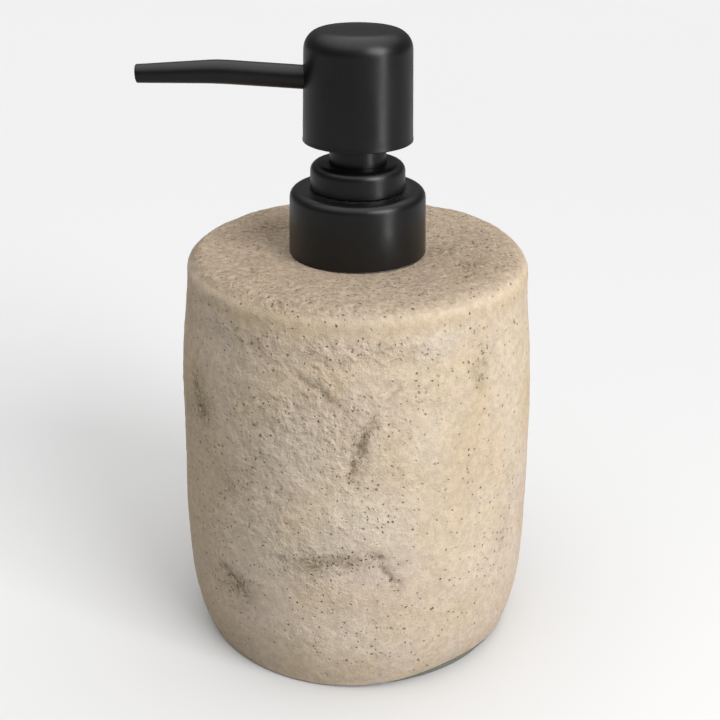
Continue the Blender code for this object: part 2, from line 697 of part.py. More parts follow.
# --- Pump ---------------------------------------------------------------------------------------
def make_pump(body, looks):
    """What the closure clamps to the neck: retainer, wiper, gasket, housing, seat and dip tube."""
    gasket = turned(
        "closure_gasket",
        [
            (roof_hole, gasket_bottom),
            (neck_radius, gasket_bottom),
            (neck_radius, gasket_top),
            (roof_hole, gasket_top),
        ],
        SHELL_SIDES,
    )
    finished(gasket, body, looks["seal"])
    finished(make_housing(), body, looks["natural"])

    retainer = turned(
        "retainer_ring",
        [
            (stem_hole, shelf_bottom),
            (retainer_skirt, shelf_bottom),
            (retainer_skirt, step_foot),
            (step_foot_radius, step_foot),
            (step_top_radius, step_top, STEP_FILLET),
            (retainer_bore, step_top),
            (retainer_bore, shelf_top),
            (stem_hole, shelf_top),
        ],
        SHELL_SIDES,
    )
    finished(retainer, body, looks["black"])

    wiper_outer = retainer_bore - TOUCH_GAP
    wiper = turned(
        "stem_wiper",
        [
            (stem_hole + WIPER_BEVEL, wiper_bottom),
            (wiper_outer, wiper_bottom),
            (wiper_outer, wiper_top),
            (stem_hole, wiper_top),
            (stem_hole, wiper_top - WIPER_BEVEL),
        ],
    )
    finished(wiper, body, looks["seal"])

    seat = turned(
        "spring_seat",
        [
            (INLET_RADIUS, seat_bottom),
            (piston_radius, seat_bottom),
            (piston_radius, seat_top),
            (INLET_RADIUS, seat_top),
        ],
    )
    slots = box(
        "seat_slots",
        (INLET_RADIUS / 2, -SEAT_SLOT_WIDTH / 2, seat_bottom - CUT_OVERRUN),
        (SEAT_SLOT_REACH, SEAT_SLOT_WIDTH / 2, seat_top + CUT_OVERRUN),
        [2 * math.pi * i / SEAT_SLOTS for i in range(SEAT_SLOTS)],
    )
    join(seat, slots, "DIFFERENCE")
    finished(seat, body, looks["natural"])
    finished(spring("return_spring", spring_bottom, spring_top), body, looks["steel"])
    finished(make_dip_tube(), body, looks["tube"])


def make_housing():
    """Throat, flange, barrel, ball valve and nipple in one turned moulding."""
    valve_bottom = barrel_floor - VALVE_FLOOR
    return turned(
        "pump_housing",
        [
            (tube_hole, nipple_bottom),
            (nipple_radius, nipple_bottom),
            (nipple_radius, valve_bottom - (barrel_radius - nipple_radius)),
            (barrel_radius, valve_bottom),
            (barrel_radius, barrel_mouth - BARREL_WALL),
            (throat_radius, barrel_mouth - BARREL_WALL + throat_radius - barrel_radius),
            (throat_radius, flange_bottom),
            (flange_radius, flange_bottom),
            (flange_radius, flange_top),
            (throat_radius, flange_top),
            (throat_radius, throat_top),
            (throat_bore, throat_top),
            (throat_bore, throat_floor),
            (BARREL_BORE, barrel_mouth),
            (BARREL_BORE, barrel_floor),
            (ball_chamber_radius, barrel_floor),
            (ball_chamber_radius, cone_top),
            (INLET_RADIUS, inlet_top),
            (INLET_RADIUS, tube_stop),
            (tube_hole, tube_stop),
        ],
    )


def make_dip_tube():
    """The tube down to the vessel's floor, its lower end cut at a slant so that it can't block."""
    tube = turned(
        "dip_tube",
        [
            (TUBE_BORE, tube_bottom),
            (TUBE_RADIUS, tube_bottom),
            (TUBE_RADIUS, tube_stop - TOUCH_GAP),
            (TUBE_BORE, tube_stop - TOUCH_GAP),
        ],
    )
    for vertex in tube.data.vertices:
        if vertex.co.z < TUBE_FLOOR_GAP:
            vertex.co.z += vertex.co.x + TUBE_RADIUS
    return tube


# --- Plunger ------------------------------------------------------------------------------------
def make_plunger(body, looks):
    """The hollow stem and the rod snapped into it."""
    stem = turned(
        "outer_stem",
        [
            (STEM_BORE, stem_bottom),
            (STEM_FLANGE_RADIUS, stem_bottom),
            (STEM_FLANGE_RADIUS, stem_flange_top),
            (STEM_RADIUS, stem_flange_top),
            (STEM_RADIUS, stem_top),
            (STEM_BORE, stem_top),
        ],
    )
    finished(stem, body, looks["natural"])

    cone = PISTON_CONE
    plug = STEM_BORE - TOUCH_GAP
    made = turned(
        "poppet_rod",
        [
            (0, disc_bottom - ROD_SPIGOT_LENGTH),
            (ROD_SPIGOT_RADIUS, disc_bottom - ROD_SPIGOT_LENGTH),
            (ROD_SPIGOT_RADIUS, disc_bottom),
            (disc_radius, disc_bottom),
            (disc_radius, disc_top),
            (ROD_NECK_RADIUS + cone, disc_top),
            (ROD_NECK_RADIUS, disc_top + cone),
            (ROD_NECK_RADIUS, rod_shoulder),
            (plug, rod_shoulder),
            (plug, rod_top),
            (0, rod_top),
        ],
        closed=False,
    )
    flutes = box(
        "rod_flutes",
        (ROD_FLUTE_FLOOR, -ROD_FLUTE_WIDTH / 2, disc_top + cone + ROD_FLUTE_RISE),
        (disc_radius, ROD_FLUTE_WIDTH / 2, rod_top + CUT_OVERRUN),
        [2 * math.pi * i / ROD_FLUTES for i in range(ROD_FLUTES)],
    )
    join(made, flutes, "DIFFERENCE")
    finished(made, body, looks["natural"])


def make_piston(body, looks):
    """The sliding seal: a lip at each end, a waist, and a cone that the rod closes."""
    waist = piston_radius - PISTON_WAIST
    piston = turned(
        "piston",
        [
            (piston_bore + PISTON_CONE, piston_bottom),
            (piston_radius, piston_bottom),
            (piston_radius, piston_bottom + PISTON_LIP),
            (waist, piston_bottom + PISTON_LIP + PISTON_WAIST),
            (waist, piston_top - PISTON_LIP - PISTON_WAIST),
            (piston_radius, piston_top - PISTON_LIP),
            (piston_radius, piston_top),
            (piston_bore, piston_top),
            (piston_bore, piston_bottom + PISTON_CONE),
        ],
    )
    finished(piston, body, looks["seal"])


def make_ball(body, looks):
    """The check ball on its conical seat."""
    bm = bmesh.new()
    place = Matrix.Translation((0, 0, ball_height))
    bmesh.ops.create_icosphere(bm, subdivisions=BALL_SUBDIVISIONS, radius=BALL_RADIUS, matrix=place)
    finished(add_object("inlet_ball", bm, ball_height), body, looks["steel"])


# --- Head ---------------------------------------------------------------------------------------
def head_inner_radius(height):
    """The head's inner radius at a height."""
    top = head_top - HEAD_CROWN
    return tapered(head_rim_radius, head_top_radius, head_rim, top, height) - HEAD_WALL


def on_spout_line(reach):
    """The point on the spout's straight inner line at a distance from the pump's axis."""
    return (-reach, 0, spout_line + reach * math.tan(SPOUT_RISE))


def make_head(body, looks):
    """The domed cup, the core inside it, the sleeve round the stem and the spout."""
    side_top = head_top - HEAD_CROWN
    dome = []
    for share in DOME_SHARES:
        dome.append((head_top_radius * share, side_top + HEAD_CROWN * (1 - share**2)))
    shell = turned(
        "head_shell",
        [
            (0, head_ceiling),
            (head_inner_radius(head_ceiling), head_ceiling, HEAD_FILLET - HEAD_WALL),
            (head_inner_radius(head_rim), head_rim),
            (head_rim_radius, head_rim),
            (head_top_radius, side_top, HEAD_FILLET),
            *dome,
        ],
        SHELL_SIDES,
        closed=False,
    )
    inside = on_spout_line(spout_inner_end)
    hole = rod("spout_hole", spout_hole, inside, on_spout_line(SPOUT_BEND))
    join(shell, hole, "DIFFERENCE")
    finished(shell, body, looks["black"])

    sleeve = turned(
        "neck_sleeve",
        [
            (sleeve_bore, sleeve_bottom),
            (sleeve_radius, sleeve_bottom),
            (sleeve_radius, sleeve_top),
            (sleeve_bore, sleeve_top),
        ],
        SHELL_SIDES,
    )
    finished(sleeve, body, looks["black"])
    finished(make_core(), body, looks["moulded"])
    finished(pipe("spout", spout_stations(), SPOUT_BORE, SPOUT_SIDES), body, looks["black"])


def make_core():
    """The post that takes the stem, with the channel to the spout's socket in its side."""
    disc_edge = head_inner_radius(head_ceiling) - CORE_DISC_INSET
    core = turned(
        "head_core",
        [
            (0, post_bottom),
            (post_radius, post_bottom),
            (post_radius, disc_underside),
            (disc_edge, disc_underside),
            (disc_edge, core_top),
            (0, core_top),
        ],
        closed=False,
    )
    half_rib = CORE_RIB_THICKNESS / 2
    rib_top = disc_underside + CORE_DISC_THICKNESS / 4
    ribs = box(
        "core_ribs",
        (post_radius - CORE_RIB_INSET, -half_rib, disc_underside - CORE_RIB_HEIGHT),
        (disc_edge - CORE_RIB_INSET, half_rib, rib_top),
        [0.0, math.pi / 2, -math.pi / 2],
    )
    join(core, ribs, "UNION")
    room = head_inner_radius(spout_line) - BOSS_ROOM
    boss_reach = math.sqrt(room**2 - boss_radius**2)
    boss = rod("spout_boss", boss_radius, on_spout_line(post_radius / 2), on_spout_line(boss_reach))
    join(core, boss, "UNION")
    channel_top = spout_line + SPOUT_BORE + CHANNEL_OVERRUN
    cuts = (
        ("stem_socket", stem_hole, (0, 0, post_bottom - CUT_OVERRUN), (0, 0, socket_top)),
        ("rising_channel", CORE_CHANNEL, (0, 0, socket_top - CUT_OVERRUN), (0, 0, channel_top)),
        ("side_channel", SPOUT_BORE, on_spout_line(0), on_spout_line(spout_inner_end)),
        (
            "spout_socket",
            spout_hole,
            on_spout_line(spout_inner_end - TOUCH_GAP),
            on_spout_line(boss_reach + CUT_OVERRUN),
        ),
    )
    for name, radius, start, end in cuts:
        join(core, rod(name, radius, start, end), "DIFFERENCE")
    return core


def main():
    """Clears the scene and builds the dispenser, body by body."""
    for old in list(bpy.data.objects):
        bpy.data.objects.remove(old)
    looks = {
        "stone": material("cast_stone", (0.56, 0.46, 0.34), 0.92),
        "foam": material("foam", (0.21, 0.22, 0.19), 0.95),
        "black": material("black_plastic", (0.014, 0.014, 0.015), 0.38),
        "moulded": material("inner_black_plastic", (0.03, 0.03, 0.032), 0.5),
        "insert": material("insert_plastic", (0.62, 0.61, 0.57), 0.5),
        "natural": material("natural_plastic", (0.75, 0.75, 0.73), 0.45),
        "tube": material("tube_plastic", (0.8, 0.82, 0.82), 0.35),
        "seal": material("seal_rubber", (0.55, 0.56, 0.58), 0.6),
        "steel": material("spring_steel", (0.62, 0.61, 0.59), 0.28, 1.0),
    }
    make_vessel(empty("vessel", 0.0), looks)
    make_pump(empty("pump", neck_top), looks)
    make_closure(empty("closure", collar_foot), looks)
    make_plunger(empty("plunger", stem_bottom), looks)
    make_piston(empty("piston_slider", piston_bottom), looks)
    make_ball(empty("valve", ball_height), looks)
    make_head(empty("head", head_rim), looks)


main()
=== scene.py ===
"""Soap pump dispenser: its looks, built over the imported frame.

A pitted cast-stone vessel stands on a foam pad and carries a satin black press-down pump. Lengths
are in metres in the part's own frame: Z is the pump's axis and the spout points along -X. An angle
round the vessel is counted in degrees from its front, -Y, towards +X.
"""

import logging
import math
from dataclasses import dataclass
from enum import Enum

import bpy
import numpy as np
from mathutils import Matrix, Vector


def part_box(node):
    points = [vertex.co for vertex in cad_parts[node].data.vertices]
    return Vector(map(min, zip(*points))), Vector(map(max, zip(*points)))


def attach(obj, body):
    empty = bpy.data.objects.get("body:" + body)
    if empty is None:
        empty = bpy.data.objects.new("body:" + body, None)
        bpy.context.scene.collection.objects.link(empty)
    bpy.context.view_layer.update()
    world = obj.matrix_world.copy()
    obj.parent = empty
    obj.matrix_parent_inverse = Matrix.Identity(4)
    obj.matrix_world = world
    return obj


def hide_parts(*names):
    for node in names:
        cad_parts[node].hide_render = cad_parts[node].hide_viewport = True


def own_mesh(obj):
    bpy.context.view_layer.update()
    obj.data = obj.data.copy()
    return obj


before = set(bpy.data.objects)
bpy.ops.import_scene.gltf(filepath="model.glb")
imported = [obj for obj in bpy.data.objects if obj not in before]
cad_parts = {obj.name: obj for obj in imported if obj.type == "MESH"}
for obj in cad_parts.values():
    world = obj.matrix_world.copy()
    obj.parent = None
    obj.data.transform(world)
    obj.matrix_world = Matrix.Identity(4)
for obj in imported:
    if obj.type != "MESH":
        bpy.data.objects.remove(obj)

log = logging.getLogger("dispenser")
MM = 0.001
Socket = bpy.types.NodeSocket
Value = float | tuple | Socket


class Body(Enum):
    """The moving bodies that new pieces ride on."""

    VESSEL = "vessel"
    PUMP = "pump"
    CLOSURE = "closure"
    HEAD = "head"


class Slot(Enum):
    """The record's material slots."""

    STONE = "stone"
    FOAM = "foam"
    BLACK = "black_plastic"
    INNER_BLACK = "inner_black_plastic"
    INSERT = "insert_plastic"
    NATURAL = "natural_plastic"
    TUBE = "tube_plastic"
    SEAL = "seal_rubber"
    STEEL = "spring_steel"


class Tint(Enum):
    """What a mark does to the stone's surface; the value names the attribute that carries it."""

    OLIVE = "olive_stain"
    BROWN = "brown_stain"
    PALE = "pale_bloom"
    OCHRE = "ochre_bloom"
    PITTED = "pitting"
    CRUST = "crust"


# --- Random relief ------------------------------------------------------------------------------
class Relief:
    """Seeded random relief over points in space."""

    def __init__(self, seed: int) -> None:
        """Draws the lattice's slopes.

        Args:
            seed: Which pattern; the same seed always gives the same relief.
        """
        random = np.random.default_rng(seed)
        self.order = random.permutation(256)
        slopes = random.normal(size=(256, 3))
        self.slopes = slopes / np.linalg.norm(slopes, axis=1, keepdims=True)
        self.chances = random.random((256, 5))

    def keys(self, cells: np.ndarray) -> np.ndarray:
        """The table entry of each lattice cell, from its three whole numbers.

        Args:
            cells: The cells' whole numbers, one row each.

        Returns:
            One whole number a cell, from 0 to 255.
        """
        first = self.order[cells[:, 0] & 255]
        second = self.order[(first + cells[:, 1]) & 255]
        return self.order[(second + cells[:, 2]) & 255]

    def smooth(self, points: np.ndarray) -> np.ndarray:
        """Gradient noise: each lattice corner's slope times the way from it, blended by a quintic.

        Args:
            points: Places in lattice units, one row each.

        Returns:
            One value a point, mostly within 0.6 of zero.
        """
        cells = np.floor(points).astype(int)
        part = points - cells
        fade = part**3 * (part * (part * 6 - 15) + 10)
        total = np.zeros(len(points))
        for corner in np.ndindex(2, 2, 2):
            offset = np.array(corner)
            weight = np.where(offset, fade, 1 - fade).prod(axis=1)
            slope = self.slopes[self.keys(cells + offset)]
            total += weight * ((part - offset) * slope).sum(axis=1)
        return total

    def fractal(self, points: np.ndarray, size: float, octaves: int = 3) -> np.ndarray:
        """Layers of gradient noise, each half the size and half the strength of the last.

        Args:
            points: Places in metres.
            size: Width of the largest lumps, in metres.
            octaves: How many layers.

        Returns:
            One value a point, mostly from -1 to 1.
        """
        total = np.zeros(len(points))
        for octave in range(octaves):
            shift = 17.3 * (octave + 1)
            total += self.smooth(points / size * 2**octave + shift) / 2**octave
        return total * 1.6

    def dents(self, points: np.ndarray, cell: float, size: float, share: np.ndarray) -> np.ndarray:
        """Round dents, at most one in each cell of a lattice, as the square of a paraboloid.

        Args:
            points: Places in metres.
            cell: The lattice's step, in metres.
            size: The largest dent's radius, in metres.
            share: How many of the cells hold a dent, from 0 to 1, at each point.

        Returns:
            The depth at each point, from 0 to 1.
        """
        cells = np.floor(points / cell).astype(int)
        depth = np.zeros(len(points))
        for corner in np.ndindex(3, 3, 3):
            near = cells + np.array(corner) - 1
            chance = self.chances[self.keys(near)]
            centre = (near + 0.15 + 0.7 * chance[:, :3]) * cell
            radius = size * (0.45 + 0.55 * chance[:, 3])
            away = np.linalg.norm(points - centre, axis=1) / radius
            dent = np.clip(1 - away**2, 0, 1) ** 2
            depth = np.maximum(depth, np.where(chance[:, 4] < share, dent, 0.0))
        return depth


# --- Outlines and surfaces ----------------------------------------------------------------------
SHORT_RUN = 0.8 * MM  # a straight run up to this length has no points near its ends
RUN_INSET = 0.12 * MM  # and on a longer one they lie this far in


def outline(corners: list[tuple], step: float, arc_steps: int = 6) -> np.ndarray:
    """Points along the line through (radius, height[, fillet]) corners.

    A fillet is a circle's arc between the two straight runs it touches, at its radius from both.
    Each run is cut evenly, with one more point a little way in from either end, which keeps the
    run flat in shading.

    Args:
        corners: The corners in order; the first and the last have no fillet.
        step: The longest piece of a straight run, in metres.
        arc_steps: How many pieces an arc has.

    Returns:
        One (radius, height) row a point.
    """
    runs: list[np.ndarray] = []
    for i, corner in enumerate(corners):
        here = np.array(corner[:2], float)
        if len(corner) == 2 or not 0 < i < len(corners) - 1:
            runs.append(here[None])
            continue
        before = np.array(corners[i - 1][:2]) - here
        after = np.array(corners[i + 1][:2]) - here
        before /= np.linalg.norm(before)
        after /= np.linalg.norm(after)
        half = math.acos(float(np.clip(before @ after, -1, 1))) / 2
        middle = (before + after) / np.linalg.norm(before + after)
        centre = here + middle * corner[2] / math.sin(half)
        spoke = here + before * corner[2] / math.tan(half) - centre
        cross = after[0] * before[1] - after[1] * before[0]
        turn = math.copysign(math.pi - 2 * half, cross) * np.linspace(0, 1, arc_steps + 1)
        across = np.array([-spoke[1], spoke[0]])
        runs.append(centre + np.outer(np.cos(turn), spoke) + np.outer(np.sin(turn), across))
    points = [runs[0]]
    for run in runs[1:]:
        start, end = points[-1][-1], run[0]
        length = np.linalg.norm(end - start)
        share = np.linspace(0, 1, max(1, math.ceil(length / step)) + 1)[1:-1]
        if length > SHORT_RUN:
            inset = RUN_INSET / length
            share = np.unique(np.concatenate([[inset], share, [1 - inset]]))
        points += [start + (end - start) * share[:, None], run]
    joined = np.concatenate(points)
    apart = np.linalg.norm(np.diff(joined, axis=0), axis=1) > 1e-7
    return joined[np.concatenate([[True], apart])]


def grid_faces(rows: int, columns: int, closed: bool) -> np.ndarray:
    """The four-sided faces of a grid whose columns run round, and whose rows may too.

    Args:
        rows: How many rows of points.
        columns: How many columns.
        closed: Whether the last row joins the first.

    Returns:
        Four point numbers a face.
    """
    row = np.arange(rows if closed else rows - 1)[:, None]
    column = np.arange(columns)[None]
    after, above = (column + 1) % columns, (row + 1) % rows
    start, end = row * columns, above * columns
    corners = np.broadcast_arrays(start + column, start + after, end + after, end + column)
    return np.stack(corners, axis=-1).reshape(-1, 4)


def surface(name: str, grid: np.ndarray, closed: bool) -> bpy.types.Object:
    """A closed, smooth mesh from a grid of points whose columns run round.

    The faces are turned round if the volume inside them, the sum of each triangle's triple
    product, comes out negative.

    Args:
        name: The piece's name.
        grid: Points in metres, as (rows, columns, 3). Unless the rows are closed too, the first and
            the last row lie on the axis, and each becomes one pole.
        closed: Whether the last row joins the first.

    Returns:
        The object, with its faces outwards, on the scene's collection.
    """
    rows, columns = grid.shape[:2]
    if closed:
        points = grid.reshape(-1, 3)
        quads, caps = grid_faces(rows, columns, True), np.empty((0, 3), int)
    else:
        inner = grid[1:-1].reshape(-1, 3)
        points = np.concatenate([inner, grid[0, :1], grid[-1, :1]])
        quads = grid_faces(rows - 2, columns, False)
        first = np.arange(columns)
        after = (first + 1) % columns
        top = (rows - 3) * columns
        pole = np.full(columns, len(inner))
        start = np.stack([pole, after, first], axis=-1)
        end = np.stack([pole + 1, top + first, top + after], axis=-1)
        caps = np.concatenate([start, end])
    triangles = np.concatenate([quads[:, :3], quads[:, [0, 2, 3]], caps])
    a, b, c = (points[triangles[:, i]] for i in range(3))
    if (a * np.cross(b, c)).sum() < 0:
        quads, caps = quads[:, ::-1], caps[:, ::-1]
    mesh = bpy.data.meshes.new(name)
    mesh.from_pydata(points, [], quads.tolist() + caps.tolist())
    mesh.shade_smooth()
    made = bpy.data.objects.new(name, mesh)
    bpy.context.scene.collection.objects.link(made)
    return made


def revolve(line: np.ndarray, sides: int, crowd: float = 0.0) -> np.ndarray:
    """A line of (radius, height) turned about Z: radius times cosine and sine, and the height.

    Args:
        line: One (radius, height) row a point.
        sides: How many columns.
        crowd: How much closer the columns stand at the front, -Y, than at the back: an even angle
            less this part of its sine.

    Returns:
        The points, as (rows, columns, 3).
    """
    even = np.linspace(0, 2 * math.pi, sides, endpoint=False)
    angle = even - crowd * np.sin(even) - math.pi / 2
    radius, height = line[:, :1], line[:, 1:]
    return np.stack(
        [radius * np.cos(angle), radius * np.sin(angle), height + 0 * angle], axis=-1
    )


def carry(mesh: bpy.types.Mesh, name: str, values: np.ndarray) -> None:
    """Stores one number for each of a mesh's points, for its material to read.

    Args:
        mesh: The mesh.
        name: The attribute's name.
        values: The numbers, in the order of the points.
    """
    made = mesh.attributes.new(name, "FLOAT", "POINT")
    made.data.foreach_set("value", values.astype(np.float32))


# --- Node trees ---------------------------------------------------------------------------------
class Graph:
    """Adds nodes to a tree and joins them."""

    def __init__(self, tree: bpy.types.NodeTree) -> None:
        """Takes the tree that the nodes go into."""
        self.tree = tree

    def add(self, kind: str, inputs: dict | None = None, **settings: object) -> bpy.types.Node:
        """Adds one node.

        Args:
            kind: The node's type.
            inputs: Socket name or place to a constant, or to the socket that feeds it.
            **settings: The node's own properties.

        Returns:
            The node.
        """
        node = self.tree.nodes.new(kind)
        for key, value in settings.items():
            setattr(node, key, value)
        for key, value in (inputs or {}).items():
            socket = node.inputs[key]
            if isinstance(value, Socket):
                self.tree.links.new(value, socket)
            else:
                socket.default_value = value
        return node

    def place(self) -> Socket:
        """The point's Object coordinates."""
        return self.add("ShaderNodeTexCoord").outputs["Object"]

    def math(self, operation: str, a: Value, b: Value = 0.0) -> Socket:
        """One sum on two numbers."""
        return self.add("ShaderNodeMath", {0: a, 1: b}, operation=operation).outputs[0]

    def times(self, a: Value, b: Value) -> Socket:
        """Two numbers multiplied."""
        return self.math("MULTIPLY", a, b)

    def plus(self, a: Value, b: Value) -> Socket:
        """Two numbers added."""
        return self.math("ADD", a, b)

    def less(self, a: Value, b: Value) -> Socket:
        """The second number taken from the first."""
        return self.math("SUBTRACT", a, b)

    def vector(self, operation: str, inputs: dict) -> Socket:
        """One sum on vectors."""
        return self.add("ShaderNodeVectorMath", inputs, operation=operation).outputs[0]

    def bump(self, height: Socket, distance: float) -> Socket:
        """The normal over a relief, whose full height is a distance in metres."""
        inputs = {"Height": height, "Distance": distance, "Strength": 1.0}
        return self.add("ShaderNodeBump", inputs).outputs[0]

    def mix(self, share: Value, a: Value, b: Value, blend: str = "MIX") -> Socket:
        """Two colours mixed.

        Args:
            share: How much of b there is, from 0 to 1.
            a: The first colour.
            b: The second colour.
            blend: How b goes over a.

        Returns:
            The mixed colour.
        """
        inputs = {0: share, 6: a, 7: b}
        node = self.add("ShaderNodeMix", inputs, data_type="RGBA", blend_type=blend)
        return node.outputs[2]

    def noise(
        self, vector: Value, size: float, detail: float = 3.0, rough: float = 0.55
    ) -> Socket:
        """Fractal noise.

        Args:
            vector: Where the point is.
            size: Width of the largest lumps, in metres.
            detail: How many finer layers there are.
            rough: How strong each layer is beside the last.

        Returns:
            A number mostly from 0 to 1.
        """
        inputs = {"Vector": vector, "Scale": 1 / size, "Detail": detail, "Roughness": rough}
        return self.add("ShaderNodeTexNoise", inputs).outputs[0]

    def ramp(
        self, value: Value, low: Value, high: Value, start: float = 0.0, end: float = 1.0
    ) -> Socket:
        """A smooth step.

        Args:
            value: What it goes by.
            low: Up to here it gives the start.
            high: From here it gives the end.
            start: What it gives below.
            end: What it gives above.

        Returns:
            The stepped number.
        """
        inputs = {"Value": value, "From Min": low, "From Max": high, "To Min": start, "To Max": end}
        return self.add("ShaderNodeMapRange", inputs, interpolation_type="SMOOTHSTEP").outputs[0]

    def stretch(self, vector: Value, scale: tuple) -> Socket:
        """The coordinates stretched along each axis."""
        return self.add("ShaderNodeMapping", {"Vector": vector, "Scale": scale}).outputs[0]

    def attribute(self, name: str) -> Socket:
        """A number carried by the mesh."""
        return self.add("ShaderNodeAttribute", attribute_name=name).outputs["Fac"]

    def use(self, tree: bpy.types.NodeTree, **inputs: Value) -> bpy.types.Node:
        """One use of a shared effect.

        Args:
            tree: The effect's group.
            **inputs: What feeds its inputs, by name.

        Returns:
            The group's node.
        """
        return self.add("ShaderNodeGroup", inputs, node_tree=tree)


def new_effect(
    name: str, takes: dict[str, float | None], gives: list[str]
) -> tuple[Graph, bpy.types.Node, bpy.types.Node]:
    """Starts a shared effect.

    Args:
        name: The group's name.
        takes: Its inputs: a starting number, or None for a vector.
        gives: The names of its outputs, each a number.

    Returns:
        Its graph, its input node and its output node.
    """
    tree = bpy.data.node_groups.new(name, "ShaderNodeTree")
    for key, start in takes.items():
        kind = "NodeSocketVector" if start is None else "NodeSocketFloat"
        socket = tree.interface.new_socket(key, in_out="INPUT", socket_type=kind)
        if start is not None:
            socket.default_value = start
    for key in gives:
        tree.interface.new_socket(key, in_out="OUTPUT", socket_type="NodeSocketFloat")
    graph = Graph(tree)
    return graph, graph.add("NodeGroupInput"), graph.add("NodeGroupOutput")


@dataclass
class Effects:
    """Effects that several finishes share, each a node group."""

    pits: bpy.types.NodeTree
    grain: bpy.types.NodeTree
    dust: bpy.types.NodeTree

    @classmethod
    def make(cls) -> "Effects":
        """Builds the three groups."""
        return cls(cls.make_pits(), cls.make_grain(), cls.make_dust())

    @staticmethod
    def make_pits() -> bpy.types.NodeTree:
        """Ragged holes: near a cell's point, in the share of the cells that have one.

        Returns:
            The group; its mask is 1 in a hole's middle and 0 away from it.
        """
        takes = {"Vector": None, "Size": 0.002, "Radius": 0.15, "Share": 0.3, "Ragged": 0.3}
        graph, given, out = new_effect("pits", takes, ["Mask"])
        place, size = given.outputs["Vector"], given.outputs["Size"]
        scale = graph.math("DIVIDE", 1.0, size)
        inputs = {"Vector": place, "Detail": 2.0, "Scale": graph.times(scale, 2.5)}
        wobble = graph.add("ShaderNodeTexNoise", inputs).outputs["Color"]
        centred = graph.vector("SUBTRACT", {0: wobble, 1: (0.5, 0.5, 0.5)})
        reach = graph.times(given.outputs["Ragged"], size)
        shift = graph.vector("SCALE", {0: centred, "Scale": reach})
        moved = graph.vector("ADD", {0: place, 1: shift})
        cell = graph.add("ShaderNodeTexVoronoi", {"Vector": moved, "Scale": scale})
        chance = graph.add("ShaderNodeSeparateColor", {0: cell.outputs["Color"]})
        there = graph.math("LESS_THAN", chance.outputs[0], given.outputs["Share"])
        vary = graph.plus(graph.times(chance.outputs[1], 0.7), 0.5)
        radius = graph.times(given.outputs["Radius"], vary)
        near = graph.ramp(cell.outputs["Distance"], 0.0, radius, 1.0, 0.0)
        graph.tree.links.new(graph.times(near, there), out.inputs["Mask"])
        return graph.tree

    @staticmethod
    def make_grain() -> bpy.types.NodeTree:
        """Fine relief: noise at one size, and a share of noise at a fifth of it.

        Returns:
            The group; its height is mostly from 0 to a little over 1.
        """
        takes = {"Vector": None, "Size": 0.001, "Fine": 0.4}
        graph, given, out = new_effect("grain", takes, ["Height"])
        scale = graph.math("DIVIDE", 1.0, given.outputs["Size"])
        inputs = {"Vector": given.outputs["Vector"], "Detail": 2.0}
        coarse = graph.add("ShaderNodeTexNoise", inputs | {"Scale": scale})
        fine = graph.add("ShaderNodeTexNoise", inputs | {"Scale": graph.times(scale, 5.0)})
        added = graph.times(fine.outputs[0], given.outputs["Fine"])
        graph.tree.links.new(graph.plus(coarse.outputs[0], added), out.inputs["Height"])
        return graph.tree

    @staticmethod
    def make_dust() -> bpy.types.NodeTree:
        """Sparse specks, and soft uneven films of dust and wear.

        Returns:
            The group; both of its masks are from 0 to 1.
        """
        takes = {"Vector": None, "Size": 0.003, "Share": 0.1}
        graph, given, out = new_effect("dust", takes, ["Specks", "Film"])
        place = given.outputs["Vector"]
        scale = graph.math("DIVIDE", 1.0, given.outputs["Size"])
        cell = graph.add("ShaderNodeTexVoronoi", {"Vector": place, "Scale": scale})
        chance = graph.add("ShaderNodeSeparateColor", {0: cell.outputs["Color"]})
        there = graph.math("LESS_THAN", chance.outputs[0], given.outputs["Share"])
        near = graph.ramp(cell.outputs["Distance"], 0.03, 0.06, 1.0, 0.0)
        graph.tree.links.new(graph.times(near, there), out.inputs["Specks"])
        inputs = {"Vector": place, "Scale": graph.times(scale, 0.35)}
        film = graph.add("ShaderNodeTexNoise", inputs | {"Detail": 4.0, "Roughness": 0.65})
        graph.tree.links.new(graph.ramp(film.outputs[0], 0.35, 0.75), out.inputs["Film"])
        return graph.tree


# --- Finishes -----------------------------------------------------------------------------------
def new_material(name: str, **settings: Value) -> tuple[bpy.types.Material, Graph, bpy.types.Node]:
    """Starts a material.

    Args:
        name: Its name.
        **settings: Constants for the shader's sockets, with _ for a space.

    Returns:
        The material, its graph and its shader.
    """
    material = bpy.data.materials.new(name)
    material.use_nodes = True
    shader = material.node_tree.nodes["Principled BSDF"]
    for key, value in settings.items():
        shader.inputs[key.replace("_", " ")].default_value = value
    return material, Graph(material.node_tree), shader


def feed(graph: Graph, shader: bpy.types.Node, **sources: Socket) -> None:
    """Joins sockets to the shader's inputs.

    Args:
        graph: The material's graph.
        shader: Its shader.
        **sources: What feeds each input, by the input's name with _ for a space.
    """
    for key, source in sources.items():
        graph.tree.links.new(source, shader.inputs[key.replace("_", " ")])


